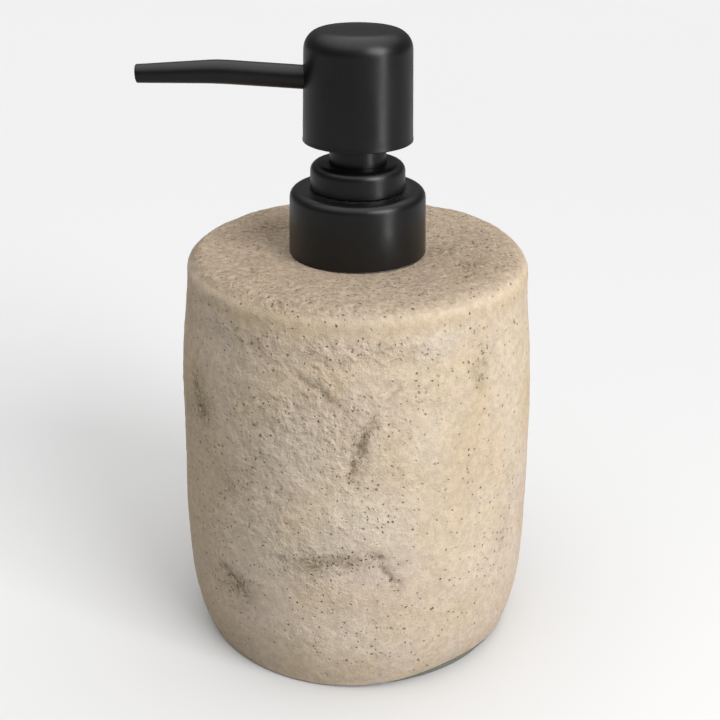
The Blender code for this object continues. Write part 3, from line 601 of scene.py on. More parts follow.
@dataclass(frozen=True)
class StoneFinish:
    """Cast stone: cream and pinkish cement, stains, dirt and painted shade in its hollows, and pits
    of three sizes painted dark as shade.
    """

    cream: tuple = (0.63, 0.515, 0.37, 1)
    pinkish: tuple = (0.63, 0.52, 0.43, 1)
    tan: tuple = (0.59, 0.455, 0.29, 1)
    # the top's grey: its own dirtier tone, and painted shade that darkens the top
    grey: tuple = (0.43, 0.335, 0.245, 1)
    pale: tuple = (0.70, 0.62, 0.51, 1)
    brown: tuple = (0.19, 0.14, 0.085, 1)
    olive: tuple = (0.19, 0.165, 0.075, 1)
    # the colour of the pits: painted shade inside them
    dark: tuple = (0.11, 0.085, 0.055, 1)
    depth: float = 0.66 * MM

    def ground(self, graph: Graph, place: Socket, relief_shade_and_wear: Socket) -> Socket:
        """The clean cement: clouds of two tones, tan blotches, blooms, a fine fleck and grit.

        Args:
            graph: The material's graph.
            place: Where the point is.
            relief_shade_and_wear: How bright the relief leaves it: painted shade in the low spots
                and painted light on the high ones, with dirt and wear.

        Returns:
            The colour.
        """
        cloud = graph.ramp(graph.noise(place, 0.024, 5.0, 0.55), 0.28, 0.72)
        stretched = graph.stretch(place, (1, 1, 0.7))
        blotch = graph.ramp(graph.noise(stretched, 0.013, 6.0, 0.62), 0.45, 0.75, 0.0, 0.6)
        colour = graph.mix(cloud, self.cream, self.pinkish)
        colour = graph.mix(blotch, colour, self.tan)
        for name, tone, part in (
            (Tint.PALE.value, self.pale, 0.8),
            (Tint.OCHRE.value, self.tan, 0.75),
            # the upward faces turn grey: the top's own dirtier grey-brown, and painted shade that
            # darkens the top further
            ("upward", self.grey, 0.85),
        ):
            share = graph.times(graph.attribute(name), part)
            colour = graph.mix(share, colour, tone)
        fleck = graph.ramp(graph.noise(place, 0.0007, 3.0, 0.7), 0.3, 0.7, 0.95, 1.05)
        mottle = graph.ramp(graph.noise(place, 0.0042, 5.0, 0.75), 0.3, 0.7, 0.95, 1.03)
        # The relief's painted shade and light, with its dirt and wear, darken the low spots and
        # lighten the high ones.
        shade = graph.times(graph.times(fleck, mottle), relief_shade_and_wear)
        grit = graph.ramp(graph.noise(place, 0.0013, 4.0, 0.8), 0.36, 0.64, -0.17, 0.08)
        crust = graph.times(graph.attribute(Tint.CRUST.value), 0.35)
        grit = graph.times(graph.plus(graph.attribute("upward"), crust), grit)
        shade = graph.times(shade, graph.plus(grit, 1.0))
        tone = graph.add("ShaderNodeCombineColor", {0: shade, 1: shade, 2: shade}).outputs[0]
        return graph.mix(1.0, colour, tone, "MULTIPLY")

    def soil_and_shade(
        self, graph: Graph, effects: Effects, place: Socket, colour: Socket
    ) -> tuple[Socket, Socket]:
        """Stains with ragged edges, dirt and painted shade in the hollows, and pits of three sizes
        painted dark as shade.

        Args:
            graph: The material's graph.
            effects: The shared effects.
            place: Where the point is.
            colour: The clean colour.

        Returns:
            The soiled and shaded colour, and where the pits are.
        """
        ragged = graph.ramp(graph.noise(place, 0.0014, 5.0, 0.8), 0.4, 0.58, 0.12, 1.0)
        for name, tone, part in (
            (Tint.BROWN.value, self.brown, 0.75),
            (Tint.OLIVE.value, self.olive, 0.95),
            # the grooves, dents and chips turn brown: dirt, and painted shade in them
            ("hollow", self.brown, 0.75),
        ):
            share = graph.times(graph.attribute(name), ragged)
            colour = graph.mix(graph.times(share, part), colour, tone)
        more = graph.attribute(Tint.PITTED.value)
        olive, brown = (graph.attribute(tint.value) for tint in (Tint.OLIVE, Tint.BROWN))
        stains_and_hollows = graph.plus(graph.plus(olive, brown), graph.attribute("hollow"))
        hole: Value = 0.0
        for size, radius, source, part, least in (
            (0.0046, 0.13, more, 0.4, 0.07),
            (0.0023, 0.18, more, 0.65, 0.08),
            (0.0012, 0.3, more, 0.7, 0.12),
            (0.0010, 0.36, stains_and_hollows, 0.75, 0.0),
        ):
            share = graph.plus(graph.times(source, part), least)
            inputs = {"Size": size, "Radius": radius, "Share": share, "Ragged": 0.55}
            pits = graph.use(effects.pits, Vector=place, **inputs)
            hole = graph.math("MAXIMUM", hole, pits.outputs["Mask"])
        # The pits are painted dark: painted shade inside them.
        return graph.mix(graph.times(hole, 0.85), colour, self.dark), hole

    def make(self, effects: Effects) -> bpy.types.Material:
        """Builds the material.

        Args:
            effects: The shared effects.

        Returns:
            The stone's material; it reads the numbers that the stone's mesh carries.
        """
        constants = {"Roughness": 0.9, "Specular_IOR_Level": 0.25}
        material, graph, shader = new_material("cast_stone", **constants)
        place = graph.place()
        crust = graph.attribute(Tint.CRUST.value)
        lumps = graph.noise(place, 0.0021, 2.0, 0.45)
        fine = graph.use(effects.grain, Vector=place, Size=0.0011, Fine=0.3).outputs["Height"]
        sand = graph.use(effects.grain, Vector=place, Size=0.00045, Fine=0.5).outputs["Height"]
        height = graph.plus(graph.times(fine, 0.8), graph.times(lumps, 0.8))
        # Painted shade in the relief's low spots and painted light on its high ones, with dirt and
        # wear.
        relief_shade_and_wear = graph.ramp(height, 0.75, 1.1, 0.93, 1.05)
        colour = self.ground(graph, place, relief_shade_and_wear)
        colour, hole = self.soil_and_shade(graph, effects, place, colour)
        rough = graph.plus(graph.times(crust, 0.8), 0.18)
        relief = graph.plus(graph.times(height, rough), graph.times(sand, 0.24))
        pocked = graph.plus(graph.times(crust, 0.65), 0.07)
        inputs = {"Size": 0.0015, "Radius": 0.34, "Share": pocked, "Ragged": 0.45}
        craters = graph.use(effects.pits, Vector=place, **inputs).outputs["Mask"]
        relief = graph.less(relief, graph.times(craters, 0.55))
        relief = graph.less(relief, graph.times(hole, 0.8))
        feed(graph, shader, Base_Color=colour, Normal=graph.bump(relief, self.depth))
        return material


@dataclass(frozen=True)
class MouldedFinish:
    """Moulded plastic or rubber: its grain, its soft uneven sheen, and dust that has settled."""

    name: str
    colour: tuple
    roughness: float
    spread: float = 0.08
    grain: float = 0.02 * MM
    grain_size: float = 0.35 * MM
    specks: float = 0.05
    dust: tuple = (0.35, 0.34, 0.31, 1)
    film: float = 0.015
    specular: float = 0.5
    see_through: float = 0.0

    def make(self, effects: Effects) -> bpy.types.Material:
        """Builds the material.

        Args:
            effects: The shared effects.

        Returns:
            The material.
        """
        material, graph, shader = new_material(self.name, Specular_IOR_Level=self.specular)
        if self.see_through:
            shader.inputs["Subsurface Weight"].default_value = self.see_through
            shader.inputs["Subsurface Radius"].default_value = (0.002, 0.002, 0.002)
            shader.inputs["Subsurface Scale"].default_value = 1.0
        place = graph.place()
        settled = graph.use(effects.dust, Vector=place, Size=0.003, Share=self.specks)
        film = graph.times(settled.outputs["Film"], self.film)
        specks = graph.times(settled.outputs["Specks"], 0.8)
        colour = graph.mix(film, self.colour, self.dust)
        colour = graph.mix(specks, colour, self.dust)
        grit = graph.ramp(graph.noise(place, 0.0005, 2.0, 0.7), 0.54, 0.66, 0.0, 0.3)
        grit = graph.times(grit, graph.attribute("settled"))
        colour = graph.mix(grit, colour, self.dust)
        sheen = graph.noise(place, 0.006, 4.0, 0.6)
        low, high = self.roughness - self.spread / 2, self.roughness + self.spread / 2
        rough = graph.ramp(sheen, 0.3, 0.7, low, high)
        inputs = {"Vector": place, "Size": self.grain_size, "Fine": 0.3}
        height = graph.use(effects.grain, **inputs).outputs["Height"]
        normal = graph.bump(height, self.grain)
        feed(graph, shader, Base_Color=colour, Roughness=rough, Normal=normal)
        return material


@dataclass(frozen=True)
class FoamFinish:
    """Closed-cell foam: grey-green, with small open cells on its cut edge, painted dark as shade
    inside them.
    """

    colour: tuple = (0.17, 0.175, 0.15, 1)
    faded: tuple = (0.26, 0.26, 0.21, 1)
    # the colour of the open cells: painted shade inside them
    deep: tuple = (0.06, 0.062, 0.052, 1)
    depth: float = 0.2 * MM

    def make(self, effects: Effects) -> bpy.types.Material:
        """Builds the material from cells of two sizes.

        Args:
            effects: The shared effects.

        Returns:
            The material.
        """
        constants = {"Roughness": 0.95, "Specular_IOR_Level": 0.2}
        material, graph, shader = new_material("foam_pad", **constants)
        place = graph.place()
        cells = graph.use(effects.pits, Vector=place, Size=0.0008, Radius=0.4, Share=0.75)
        large = graph.use(effects.pits, Vector=place, Size=0.0021, Radius=0.22, Share=0.3)
        hole = graph.math("MAXIMUM", cells.outputs["Mask"], large.outputs["Mask"])
        cloud = graph.ramp(graph.noise(place, 0.006, 3.0), 0.3, 0.7, 0.0, 0.35)
        colour = graph.mix(cloud, self.colour, self.faded)
        # The open cells are painted dark: painted shade inside them.
        colour = graph.mix(graph.times(hole, 0.55), colour, self.deep)
        height = graph.less(graph.noise(place, 0.0005, 2.0), hole)
        feed(graph, shader, Base_Color=colour, Normal=graph.bump(height, self.depth))
        return material


@dataclass(frozen=True)
class SteelFinish:
    """Drawn spring steel: bright, with fine marks along the drawing and a little tarnish."""

    colour: tuple = (0.62, 0.61, 0.58, 1)
    tarnish: tuple = (0.38, 0.34, 0.28, 1)
    depth: float = 0.01 * MM

    def make(self, effects: Effects) -> bpy.types.Material:
        """Builds the material.

        Args:
            effects: The shared effects.

        Returns:
            The material.
        """
        material, graph, shader = new_material("spring_steel", Metallic=1.0)
        place = graph.place()
        cloud = graph.ramp(graph.noise(place, 0.004, 4.0), 0.5, 0.75, 0.0, 0.5)
        marks = graph.noise(graph.stretch(place, (1, 1, 6)), 0.0015, 4.0, 0.7)
        rough = graph.ramp(marks, 0.25, 0.75, 0.2, 0.38)
        height = graph.use(effects.grain, Vector=place, Size=0.0003, Fine=0.5).outputs["Height"]
        colour = graph.mix(cloud, self.colour, self.tarnish)
        normal = graph.bump(height, self.depth)
        feed(graph, shader, Base_Color=colour, Roughness=rough, Normal=normal)
        return material


@dataclass(frozen=True)
class FloorFinish:
    """A pale matt studio floor, which throws less light back than the camera sees."""

    colour: tuple = (0.685, 0.685, 0.685, 1)
    bounce: tuple = (0.36, 0.36, 0.36, 1)

    def make(self) -> bpy.types.Material:
        """Builds the material: pale paper with a barely uneven tone.

        Returns:
            The material.
        """
        constants = {"Roughness": 0.95, "Specular_IOR_Level": 0.0}
        material, graph, shader = new_material("studio_floor", **constants)
        cloud = graph.ramp(graph.noise(graph.place(), 0.4, 2.0), 0.3, 0.7, 0.0, 0.01)
        seen = graph.add("ShaderNodeLightPath").outputs["Is Camera Ray"]
        colour = graph.mix(cloud, graph.mix(seen, self.bounce, self.colour), self.bounce)
        feed(graph, shader, Base_Color=colour)
        return material


def dress(
    piece: bpy.types.Object, material: bpy.types.Material, slot: Slot, body: Body, *nodes: str
) -> None:
    """Gives a finished piece its material and its body, and hides the CAD nodes that it stands for.

    Args:
        piece: The piece, in place.
        material: Its material.
        slot: The record's slot that it takes its finish from; not used.
        body: What it moves with.
        *nodes: The CAD nodes that it replaces.
    """
    piece.data.materials.append(material)
    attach(piece, body.value)
    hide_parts(*nodes)
    log.info("%s: %d faces, rides on %s", piece.name, len(piece.data.polygons), body.value)


# --- Stone vessel -------------------------------------------------------------------------------
@dataclass(frozen=True)
class Mark:
    """A soft-edged patch on the stone, at an angle and a height, or on the top at a radius."""

    angle: float
    height: float
    across: float
    up: float
    strength: float
    on_top: bool = False


@dataclass(frozen=True)
class Crevice:
    """A groove through (angle, height) points on the stone's side."""

    points: tuple
    width: float
    depth: float


@dataclass
class StoneVessel:
    """The cast-stone body with its cavity, and the foam pad under it."""

    columns: int = 328
    crowd: float = 0.35
    side_step: float = 0.58 * MM
    stations: tuple = (  # (height, radius) up the side, in mm
        (2.3, 41.7), (4.0, 42.45), (6.0, 43.3), (9.0, 44.15), (14.0, 45.0), (21.0, 45.35),
        (31.0, 45.6), (43.0, 45.5), (57.0, 45.1), (70.0, 44.7), (82.0, 44.0), (91.0, 42.9),
        (97.0, 42.4), (99.3, 42.3),
    )
    rim_radius: float = 42.3 * MM
    rim_fillet: float = 4.5 * MM
    foot_fillet: float = 0.4 * MM
    recess: float = 41.25 * MM
    pad_radius: float = 40.3 * MM
    dish_radius: float = 30.0 * MM
    dish_depth: float = 0.9 * MM
    counterbore: float = 16.5 * MM
    counterbore_depth: float = 1.8 * MM
    mouth: float = 15.0 * MM
    roof: float = 12.0 * MM
    floor: float = 10.0 * MM
    cavity: float = 36.0 * MM
    drop_depth: float = 2.0
    drop_relief: float = 2.2
    drop_angle: float = 36.0
    drop_spread: float = 25.0
    drop_reach: float = 9 * MM
    pad_columns: int = 240
    pad_edge: float = 0.25 * MM
    pad_shoulder: float = 0.45 * MM
    pad_waver: float = 0.22 * MM
    side_marks: tuple = (  # (angle, height, reach across, reach up, strength), in degrees and mm
        (Tint.OLIVE, (
            (-13.5, 39.3, 4.6, 2.4, 1), (-4, 41.2, 6.5, 1.8, 0.8), (-39, 25.6, 4.5, 3, 0.75),
            (-57, 71.5, 3.6, 4.5, 0.85), (40.5, 85, 1.8, 3, 0.6), (-150, 40, 7, 4, 0.6),
        )),
        (Tint.BROWN, (
            # the mark at 1.6 degrees and 70.5 mm lies along the centre crevice and paints the
            # shadow of its chipped edge
            (-44, 28.5, 4, 2.4, 0.6), (1.6, 70.5, 1.9, 6, 0.8), (-10, 83, 6, 2.6, 0.35),
            (-43, 55, 5, 3.5, 0.4), (11, 35, 1.8, 4, 0.4), (-60, 76, 3, 5, 0.5),
            (-70, 66, 3, 10, 0.4), (-72, 92, 2.5, 5, 0.45), (8.5, 40, 7, 2.2, 0.4),
            (44, 87.5, 3.2, 4.2, 0.35), (57, 54, 1.8, 5, 0.35), (54, 38.5, 2.6, 5.5, 0.35),
            (-36, 92.6, 6, 0.8, 0.45), (140, 72, 9, 5, 0.5),
        )),
        (Tint.PALE, (
            (25, 71, 7, 9, 0.65), (27, 95, 6, 3.5, 0.7), (58, 66, 4, 16, 0.3),
            (38, 40, 9, 9, 0.4), (-45, 90, 7, 5, 0.4), (-16, 66, 12, 12, 0.5),
            (-30, 40, 10, 9, 0.45), (0, 18, 15, 7, 0.6), (3, 52, 13, 9, 0.75),
            (-110, 65, 12, 10, 0.6),
        )),
        (Tint.OCHRE, (
            (34, 66, 8, 12, 0.8), (33, 78, 7, 5, 0.6), (-58, 15, 12, 8, 0.6),
            (-66, 52, 14, 45, 0.75), (30, 20, 16, 6, 0.5), (-12, 99, 18, 2.5, 0.6),
            (30, 100, 20, 2, 0.7), (115, 45, 12, 10, 0.6),
        )),
        (Tint.PITTED, (
            (-52, 56, 20, 38, 0.8), (2, 22, 22, 12, 0.45), (50, 40, 10, 22, 0.4),
            (-13, 39.5, 7, 3, 1), (-2, 40, 12, 3, 0.7), (-43, 54, 7, 7, 0.8),
            (-41, 27, 6, 4, 0.8), (14, 52, 12, 3, 0.6), (17, 83, 8, 3.5, 0.6),
            (41, 86, 4, 5, 0.8), (-63, 84, 5, 10, 0.4), (-8, 62, 10, 6, 0.45),
            (160, 50, 18, 10, 0.6),
        )),
        (Tint.CRUST, (
            (-12, 78, 26, 24, 1), (-20, 50, 26, 20, 0.8), (8, 94, 18, 5, 0.9),
            (150, 60, 40, 30, 0.7),
        )),
    )
    top_marks: tuple = (  # the same, with the distance from the axis for the height
        (Tint.OLIVE, (
            (87, 22, 3, 3.5, 0.55),
        )),
        (Tint.BROWN, (
            (-123, 27, 9, 6, 1), (-100, 32, 6, 3.5, 0.35), (66, 31, 6, 3, 0.7),
            (-140, 21, 4, 3, 0.8), (48, 33, 8, 3, 0.5), (110, 31, 7, 3, 0.4),
            (20, 27, 10, 2.6, 0.25),
        )),
        (Tint.OCHRE, (
            (-48, 29, 5, 2.5, 0.8), (-108, 28, 15, 7, 0.8), (72, 31, 15, 6, 0.8),
            (-45, 27, 8, 2, 0.6),
        )),
        (Tint.PALE, (
            (12, 25, 12, 5, 0.45), (13.5, 19.3, 1.3, 0.5, 1),
        )),
        (Tint.PITTED, (
            (-30, 33, 14, 6, 0.45), (-120, 29, 16, 8, 1), (-120, 26, 9, 6, 0.8),
            (68, 31, 8, 4, 0.8),
        )),
        (Tint.CRUST, (
            (-120, 28, 16, 8, 0.6), (70, 30, 14, 7, 0.6),
        )),
    )
    crevices: tuple = (
        Crevice(
            ((5.4, 78.5), (3.4, 75.4), (2.3, 72.5), (0.4, 69.2), (-1.2, 65.8), (-2.4, 62.8)),
            1.2,
            1.25,
        ),
        Crevice(((13.0, 86.2), (11.2, 84.6), (10.4, 82.6), (8.2, 80.4)), 0.75, 0.6),
        Crevice(
            ((-22.0, 90.0), (-17.0, 87.0), (-12.0, 85.4), (-9.0, 82.5), (-4.0, 80.5), (-3.4, 75.0)),
            0.9,
            0.5,
        ),
        Crevice(((-39.5, 92.8), (-36.0, 92.4), (-33.5, 91.6), (-30.0, 92.5)), 0.42, 0.4),
        Crevice(((3.5, 43.0), (7.0, 40.8), (9.0, 37.5), (11.6, 34.0), (13.0, 31.6)), 0.8, 0.75),
        Crevice(((-17.0, 39.0), (-13.0, 38.2), (-8.0, 39.6), (-3.0, 40.2), (1.0, 41.6)), 0.8, 0.45),
        Crevice(((-49.0, 31.0), (-44.0, 29.0), (-40.0, 26.0), (-37.5, 23.0)), 0.8, 0.45),
        Crevice(((-66.0, 78.0), (-60.0, 75.0), (-57.0, 71.0), (-54.0, 68.0)), 0.9, 0.5),
        Crevice(((36.0, 79.5), (39.0, 83.0), (42.5, 86.0), (48.0, 89.0), (53.0, 92.0)), 0.7, 0.35),
        Crevice(((0.0, 92.0), (5.0, 93.0), (9.0, 95.0), (14.0, 94.0)), 0.7, 0.3),
        Crevice(((52.0, 31.0), (54.0, 37.0), (57.0, 43.0)), 0.6, 0.35),
        Crevice(((130.0, 70.0), (138.0, 72.0), (144.0, 66.0), (152.0, 64.0)), 0.9, 0.6),
        Crevice(((-155.0, 38.0), (-148.0, 40.0), (-142.0, 37.0)), 0.8, 0.5),
        Crevice(((172.0, 84.0), (176.0, 88.0), (183.0, 87.0)), 0.7, 0.4),
    )

    def line(self) -> tuple[np.ndarray, np.ndarray]:
        """The outline from the underside's middle, up the side and into the cavity to its floor.

        The side is a smooth curve through the stations: they are joined by straight lines, and
        each point is then averaged with its neighbours over three millimetres.

        Returns:
            The (radius, height) points, and how much relief each one takes, from 0 to 1.
        """
        low, high = (corner.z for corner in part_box("stone_body"))
        heights, radii = np.array(self.stations).T * MM
        raw = np.linspace(low, high - self.rim_fillet, 700)
        kernel = np.hanning(45)
        padded = np.pad(np.interp(raw, heights, radii), 22, mode="reflect", reflect_type="odd")
        smooth = np.convolve(padded, kernel / kernel.sum(), mode="valid")
        count = round((high - low) / self.side_step)
        climb = np.linspace(low + self.foot_fillet, high - self.rim_fillet, count)
        side = np.stack([np.interp(climb, raw, smooth), climb], axis=1)
        foot = float(smooth[0])
        recess = self.recess
        corners = [(0, low), (recess, low), (recess + 0.05 * MM, low)]
        below = outline([*corners, (foot, low, self.foot_fillet), tuple(side[0])], 6 * MM, 5)
        dish = high - self.dish_depth
        above = outline(
            [
                tuple(side[-1]),
                (self.rim_radius, high, self.rim_fillet * 0.97),
                (self.dish_radius, high, 6 * MM),
                (self.counterbore + 1 * MM, dish, 6 * MM),
                (self.counterbore, dish),
            ],
            self.side_step,
            12,
        )
        inside = outline(
            [
                (self.counterbore, dish),
                (self.counterbore, dish - self.counterbore_depth),
                (self.mouth, dish - self.counterbore_depth),
                (self.mouth, high - self.roof),
                (self.cavity, high - self.roof, 6 * MM),
                (self.cavity, low + self.floor, 6 * MM),
                (0, low + self.floor),
            ],
            12 * MM,
            3,
        )
        points = np.concatenate([below[:-1], side, above[1:-1], inside])
        weight = np.zeros(len(points))
        first, last = len(below) - 1, len(below) - 1 + len(side) + len(above) - 2
        weight[first:last] = 1.0
        rise = np.clip((points[first:last, 1] - low) / (3 * MM), 0, 1)
        edge = np.clip((points[first:last, 0] - self.counterbore) / (2.5 * MM), 0, 1)
        weight[first:last] *= rise * edge
        return points, weight

    def on_surface(self, angle: float, height: float, on_top: bool = False) -> np.ndarray:
        """A point of the smooth stone.

        Args:
            angle: The angle round the vessel, in degrees.
            height: The height in millimetres, or on the top the distance from the axis.
            on_top: Whether the point is on the top.

        Returns:
            The point, in metres.
        """
        turn = math.radians(angle)
        if on_top:
            radius, level = height * MM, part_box("stone_body")[1].z
        else:
            heights, radii = np.array(self.stations).T
            radius, level = np.interp(height, heights, radii) * MM, height * MM
        return np.array([radius * math.sin(turn), -radius * math.cos(turn), level])

    def spread(self, mark: Mark, points: np.ndarray) -> np.ndarray:
        """How strongly a mark covers each point: a bell curve over its reach across and up.

        Args:
            mark: The mark.
            points: Places in metres, one row each.

        Returns:
            One value a point, up to the mark's strength.
        """
        centre = self.on_surface(mark.angle, mark.height, mark.on_top)
        turn = math.radians(mark.angle)
        away = points - centre
        across = away @ np.array([math.cos(turn), math.sin(turn), 0.0])
        rest = np.sqrt(np.maximum((away**2).sum(axis=1) - across**2, 0))
        ratio = (across / (mark.across * MM)) ** 2 + (rest / (mark.up * MM)) ** 2
        return mark.strength * np.exp(-0.8 * ratio)

    def groove(self, crevice: Crevice, points: np.ndarray) -> np.ndarray:
        """How deep a crevice is at each point: a bell curve of the distance from its line.

        Args:
            crevice: The crevice.
            points: Places in metres, one row each.

        Returns:
            The depth at each point, in millimetres; it fades towards the line's ends.
        """
        line = np.array([self.on_surface(angle, height) for angle, height in crevice.points])
        nearest = np.full(len(points), 1.0)
        along = np.zeros(len(points))
        spans = len(line) - 1
        for i, (start, end) in enumerate(zip(line, line[1:])):
            way = end - start
            share = np.clip((points - start) @ way / (way @ way), 0, 1)
            distance = np.linalg.norm(points - start - share[:, None] * way, axis=1)
            closer = distance < nearest
            nearest = np.where(closer, distance, nearest)
            along = np.where(closer, (i + share) / spans, along)
        fade = np.sin(np.pi * np.clip(along, 0.03, 0.97)) ** 0.5
        return crevice.depth * fade * np.exp(-((nearest / (crevice.width * MM)) ** 2))

    def build(self) -> bpy.types.Object:
        """The stone: its outline turned about Z, and moved along its normal by the relief.

        The relief is a broad swell, lumps, a crumbly crust where the marks say so, dents and the
        crevices. The mesh also carries what its material reads.

        Returns:
            The stone's object.
        """
        line, weight = self.line()
        grid = revolve(line, self.columns, self.crowd)
        tangent = np.gradient(line, axis=0)
        tangent /= np.maximum(np.linalg.norm(tangent, axis=1, keepdims=True), 1e-9)
        slope = revolve(np.stack([tangent[:, 1], -tangent[:, 0]], axis=1), self.columns, self.crowd)
        points = grid.reshape(-1, 3)
        weight = np.repeat(weight, self.columns)
        broad, fine, spots = Relief(11), Relief(23), Relief(37)
        shifts = (0.0, 0.31, 0.67)
        warp = np.stack([fine.fractal(points + shift, 5 * MM, 3) for shift in shifts], axis=1)
        warped = points + warp * 1.3 * MM
        ragged = points + warp * 0.9 * MM
        tints = {tint: np.zeros(len(points)) for tint in Tint}
        for on_top, marks in ((False, self.side_marks), (True, self.top_marks)):
            for tint, rows in marks:
                for row in rows:
                    spot = self.spread(Mark(*row, on_top=on_top), warped)
                    tints[tint] = np.maximum(tints[tint], spot)
        low, high = (corner.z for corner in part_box("stone_body"))
        upward = np.clip((slope.reshape(-1, 3)[:, 2] - 0.45) / 0.4, 0, 1)
        below_rim = (high - warped[:, 2]) / MM
        lip = np.exp(-(((below_rim - 4.5) / 2.6) ** 2)) * (upward < 0.5)
        band = np.exp(-(((below_rim - 9.5) / 3.0) ** 2))
        front = np.clip(0.4 - points[:, 1] / (55 * MM), 0, 1)
        tints[Tint.OCHRE] = np.maximum(tints[Tint.OCHRE], 0.6 * lip)
        pitted = np.maximum(tints[Tint.PITTED], 0.45 * band * front) + 0.35 * upward
        crust = tints[Tint.CRUST] + 0.5 * broad.fractal(points, 13 * MM, 2) + 0.55 * upward
        angle = np.degrees(np.arctan2(points[:, 0], -points[:, 1]))
        smoother = np.exp(-(((angle - 48) / 30) ** 2)) * (1 - upward)
        crust = np.clip(crust + 0.6 * band * front - 0.6 * lip - 0.6 * smoother, 0, 1)
        tints[Tint.CRUST] = crust
        patchy = broad.fractal(points + 0.5, 9 * MM, 3)
        tints[Tint.PITTED] = np.clip(pitted + 0.35 * patchy, 0, 1)
        crumb = fine.fractal(points, 2.4 * MM, 2)
        dents = spots.dents(ragged, 3.4 * MM, 1.25 * MM, 0.25 + 0.45 * crust)
        chips = spots.dents(ragged + 0.2, 7.5 * MM, 2.6 * MM, 0.12 + 0.3 * crust)
        grooves = np.zeros(len(points))
        for crevice in self.crevices:
            grooves = np.maximum(grooves, self.groove(crevice, ragged))
        grooves *= np.clip(0.75 + 0.6 * crumb, 0.2, 1.3)
        swell, lumps = broad.fractal(points, 36 * MM, 2), broad.fractal(points, 10 * MM, 3)
        relief = 0.30 * swell + 0.13 * lumps
        relief += (0.05 + 0.17 * crust) * crumb - (0.07 + 0.14 * crust) * dents
        relief -= 0.22 * chips * (0.4 + crust) + 1.2 * grooves - 0.12 * np.clip(lip, 0, 1)
        moved = points + slope.reshape(-1, 3) * (relief * weight * MM)[:, None]
        moved[:, 2] -= self.drop(points)
        stone = surface("stone_vessel", moved.reshape(grid.shape), closed=False)
        # Where the grooves, dents and chips lie; the material browns them as dirt and as painted
        # shade.
        hollow = np.clip(grooves * 1.7 + 0.4 * dents * crust + 0.3 * chips * crust - 0.05, 0, 1)
        numbers = {tint.value: values for tint, values in tints.items()}
        numbers |= {"upward": upward, "hollow": hollow * weight}
        for name, values in numbers.items():
            rows = values.reshape(grid.shape[:2])
            ordered = np.concatenate([rows[1:-1].ravel(), rows[0, :1], rows[-1, :1]])
            carry(stone.data, name, ordered)
        return stone

    def drop(self, points: np.ndarray) -> np.ndarray:
        """How far the foot's rim comes down round the pad.

        It comes down by two millimetres, but rises by 0.2 in a bell curve at the front right, and
        the drop fades with the square of the height over the first nine millimetres.

        Args:
            points: Points of the smooth stone.

        Returns:
            The drop at each point, in metres.
        """
        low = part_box("stone_body")[0].z
        angle = np.degrees(np.arctan2(points[:, 0], -points[:, 1]))
        bell = np.exp(-(((angle - self.drop_angle) / self.drop_spread) ** 2))
        depth = self.drop_depth - self.drop_relief * bell
        radius = np.hypot(points[:, 0], points[:, 1])
        outside = np.clip((radius - self.recess) / (0.05 * MM), 0, 1)
        fade = np.clip(1 - (points[:, 2] - low) / self.drop_reach, 0, 1) ** 2
        return depth * outside * fade * MM

    def build_pad(self) -> bpy.types.Object:
        """The foam disc: a softly rounded edge, pulled in and out by a hair where it was cut.

        Returns:
            The pad's object.
        """
        low, high = (np.array(corner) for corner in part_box("base_pad"))
        centre, radius = (low + high) / 2, self.pad_radius
        corners = [
            (0, low[2]),
            (radius, low[2], self.pad_edge),
            (radius, high[2], self.pad_shoulder),
            (0, high[2]),
        ]
        line = outline(corners, 0.5 * MM, 4)
        keep = (line[:, 0] > radius - 4 * MM) | (line[:, 0] < 1e-9)
        grid = revolve(line[keep], self.pad_columns)
        cut = Relief(5).fractal(grid.reshape(-1, 3), 7 * MM, 3).reshape(grid.shape[:2])
        share = np.clip(grid[..., :2] / radius, -1, 1)
        grid[..., :2] += share * (cut * self.pad_waver)[..., None]
        grid[..., 0] += centre[0]
        return surface("foam_base_pad", grid, closed=False)

    def make(self, effects: Effects) -> None:
        """Builds and dresses the stone and its pad.

        Args:
            effects: The shared effects.
        """
        dress(self.build(), StoneFinish().make(effects), Slot.STONE, Body.VESSEL, "stone_body")
        pad = self.build_pad()
        dress(pad, FoamFinish().make(effects), Slot.FOAM, Body.VESSEL, "base_pad")


# --- Pump: its black outer pieces ---------------------------------------------------------------
@dataclass
class Turned:
    """What the pieces that are turned about the pump's axis share."""

    sides: int = 128
    step: float = 1.2 * MM
    edge: float = 0.18 * MM

    def turn(self, name: str, corners: list[tuple]) -> bpy.types.Object:
        """A ring: a closed outline of corners turned about Z.

        Args:
            name: The piece's name.
            corners: The outline's (radius, height[, fillet]) corners, in order.

        Returns:
            The ring's object.
        """
        start = tuple((corners[0][i] + corners[-1][i]) / 2 for i in range(2))
        line = outline([start, *corners, start], self.step)[:-1]
        return surface(name, revolve(line, self.sides), closed=True)


@dataclass
class Collar(Turned):
    """The smooth collar over the threaded cap."""

    draft: float = 0.4 * MM
    fillet: float = 2.1 * MM
    wall: float = 1.1 * MM
    hole: float = 10.5 * MM
    dust_radius: float = 12.3 * MM

    def make(self, material: bpy.types.Material) -> None:
        """Builds the shell: a leaning side, a round shoulder and a roof with the pump's hole.

        Its roof carries how much grit has settled in the corner round the pump's step.

        Args:
            material: The finish.
        """
        low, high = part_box("collar_shell")
        foot, top = high.x, high.x - self.draft
        corners = [
            (foot, low.z, self.edge),
            (top, high.z, self.fillet),
            (self.hole, high.z, self.edge),
            (self.hole, high.z - self.wall, self.edge),
            (top - self.wall, high.z - self.wall, self.fillet / 2),
            (foot - self.wall, low.z, self.edge),
        ]
        cover = self.turn("collar_cover", corners)
        points = np.empty(len(cover.data.vertices) * 3)
        cover.data.vertices.foreach_get("co", points)
        points = points.reshape(-1, 3)
        away = (np.hypot(points[:, 0], points[:, 1]) - self.dust_radius) / MM
        carry(cover.data, "settled", np.exp(-(away**2)) * (points[:, 2] > high.z - 0.1 * MM))
        dress(cover, material, Slot.BLACK, Body.CLOSURE, "collar_shell")


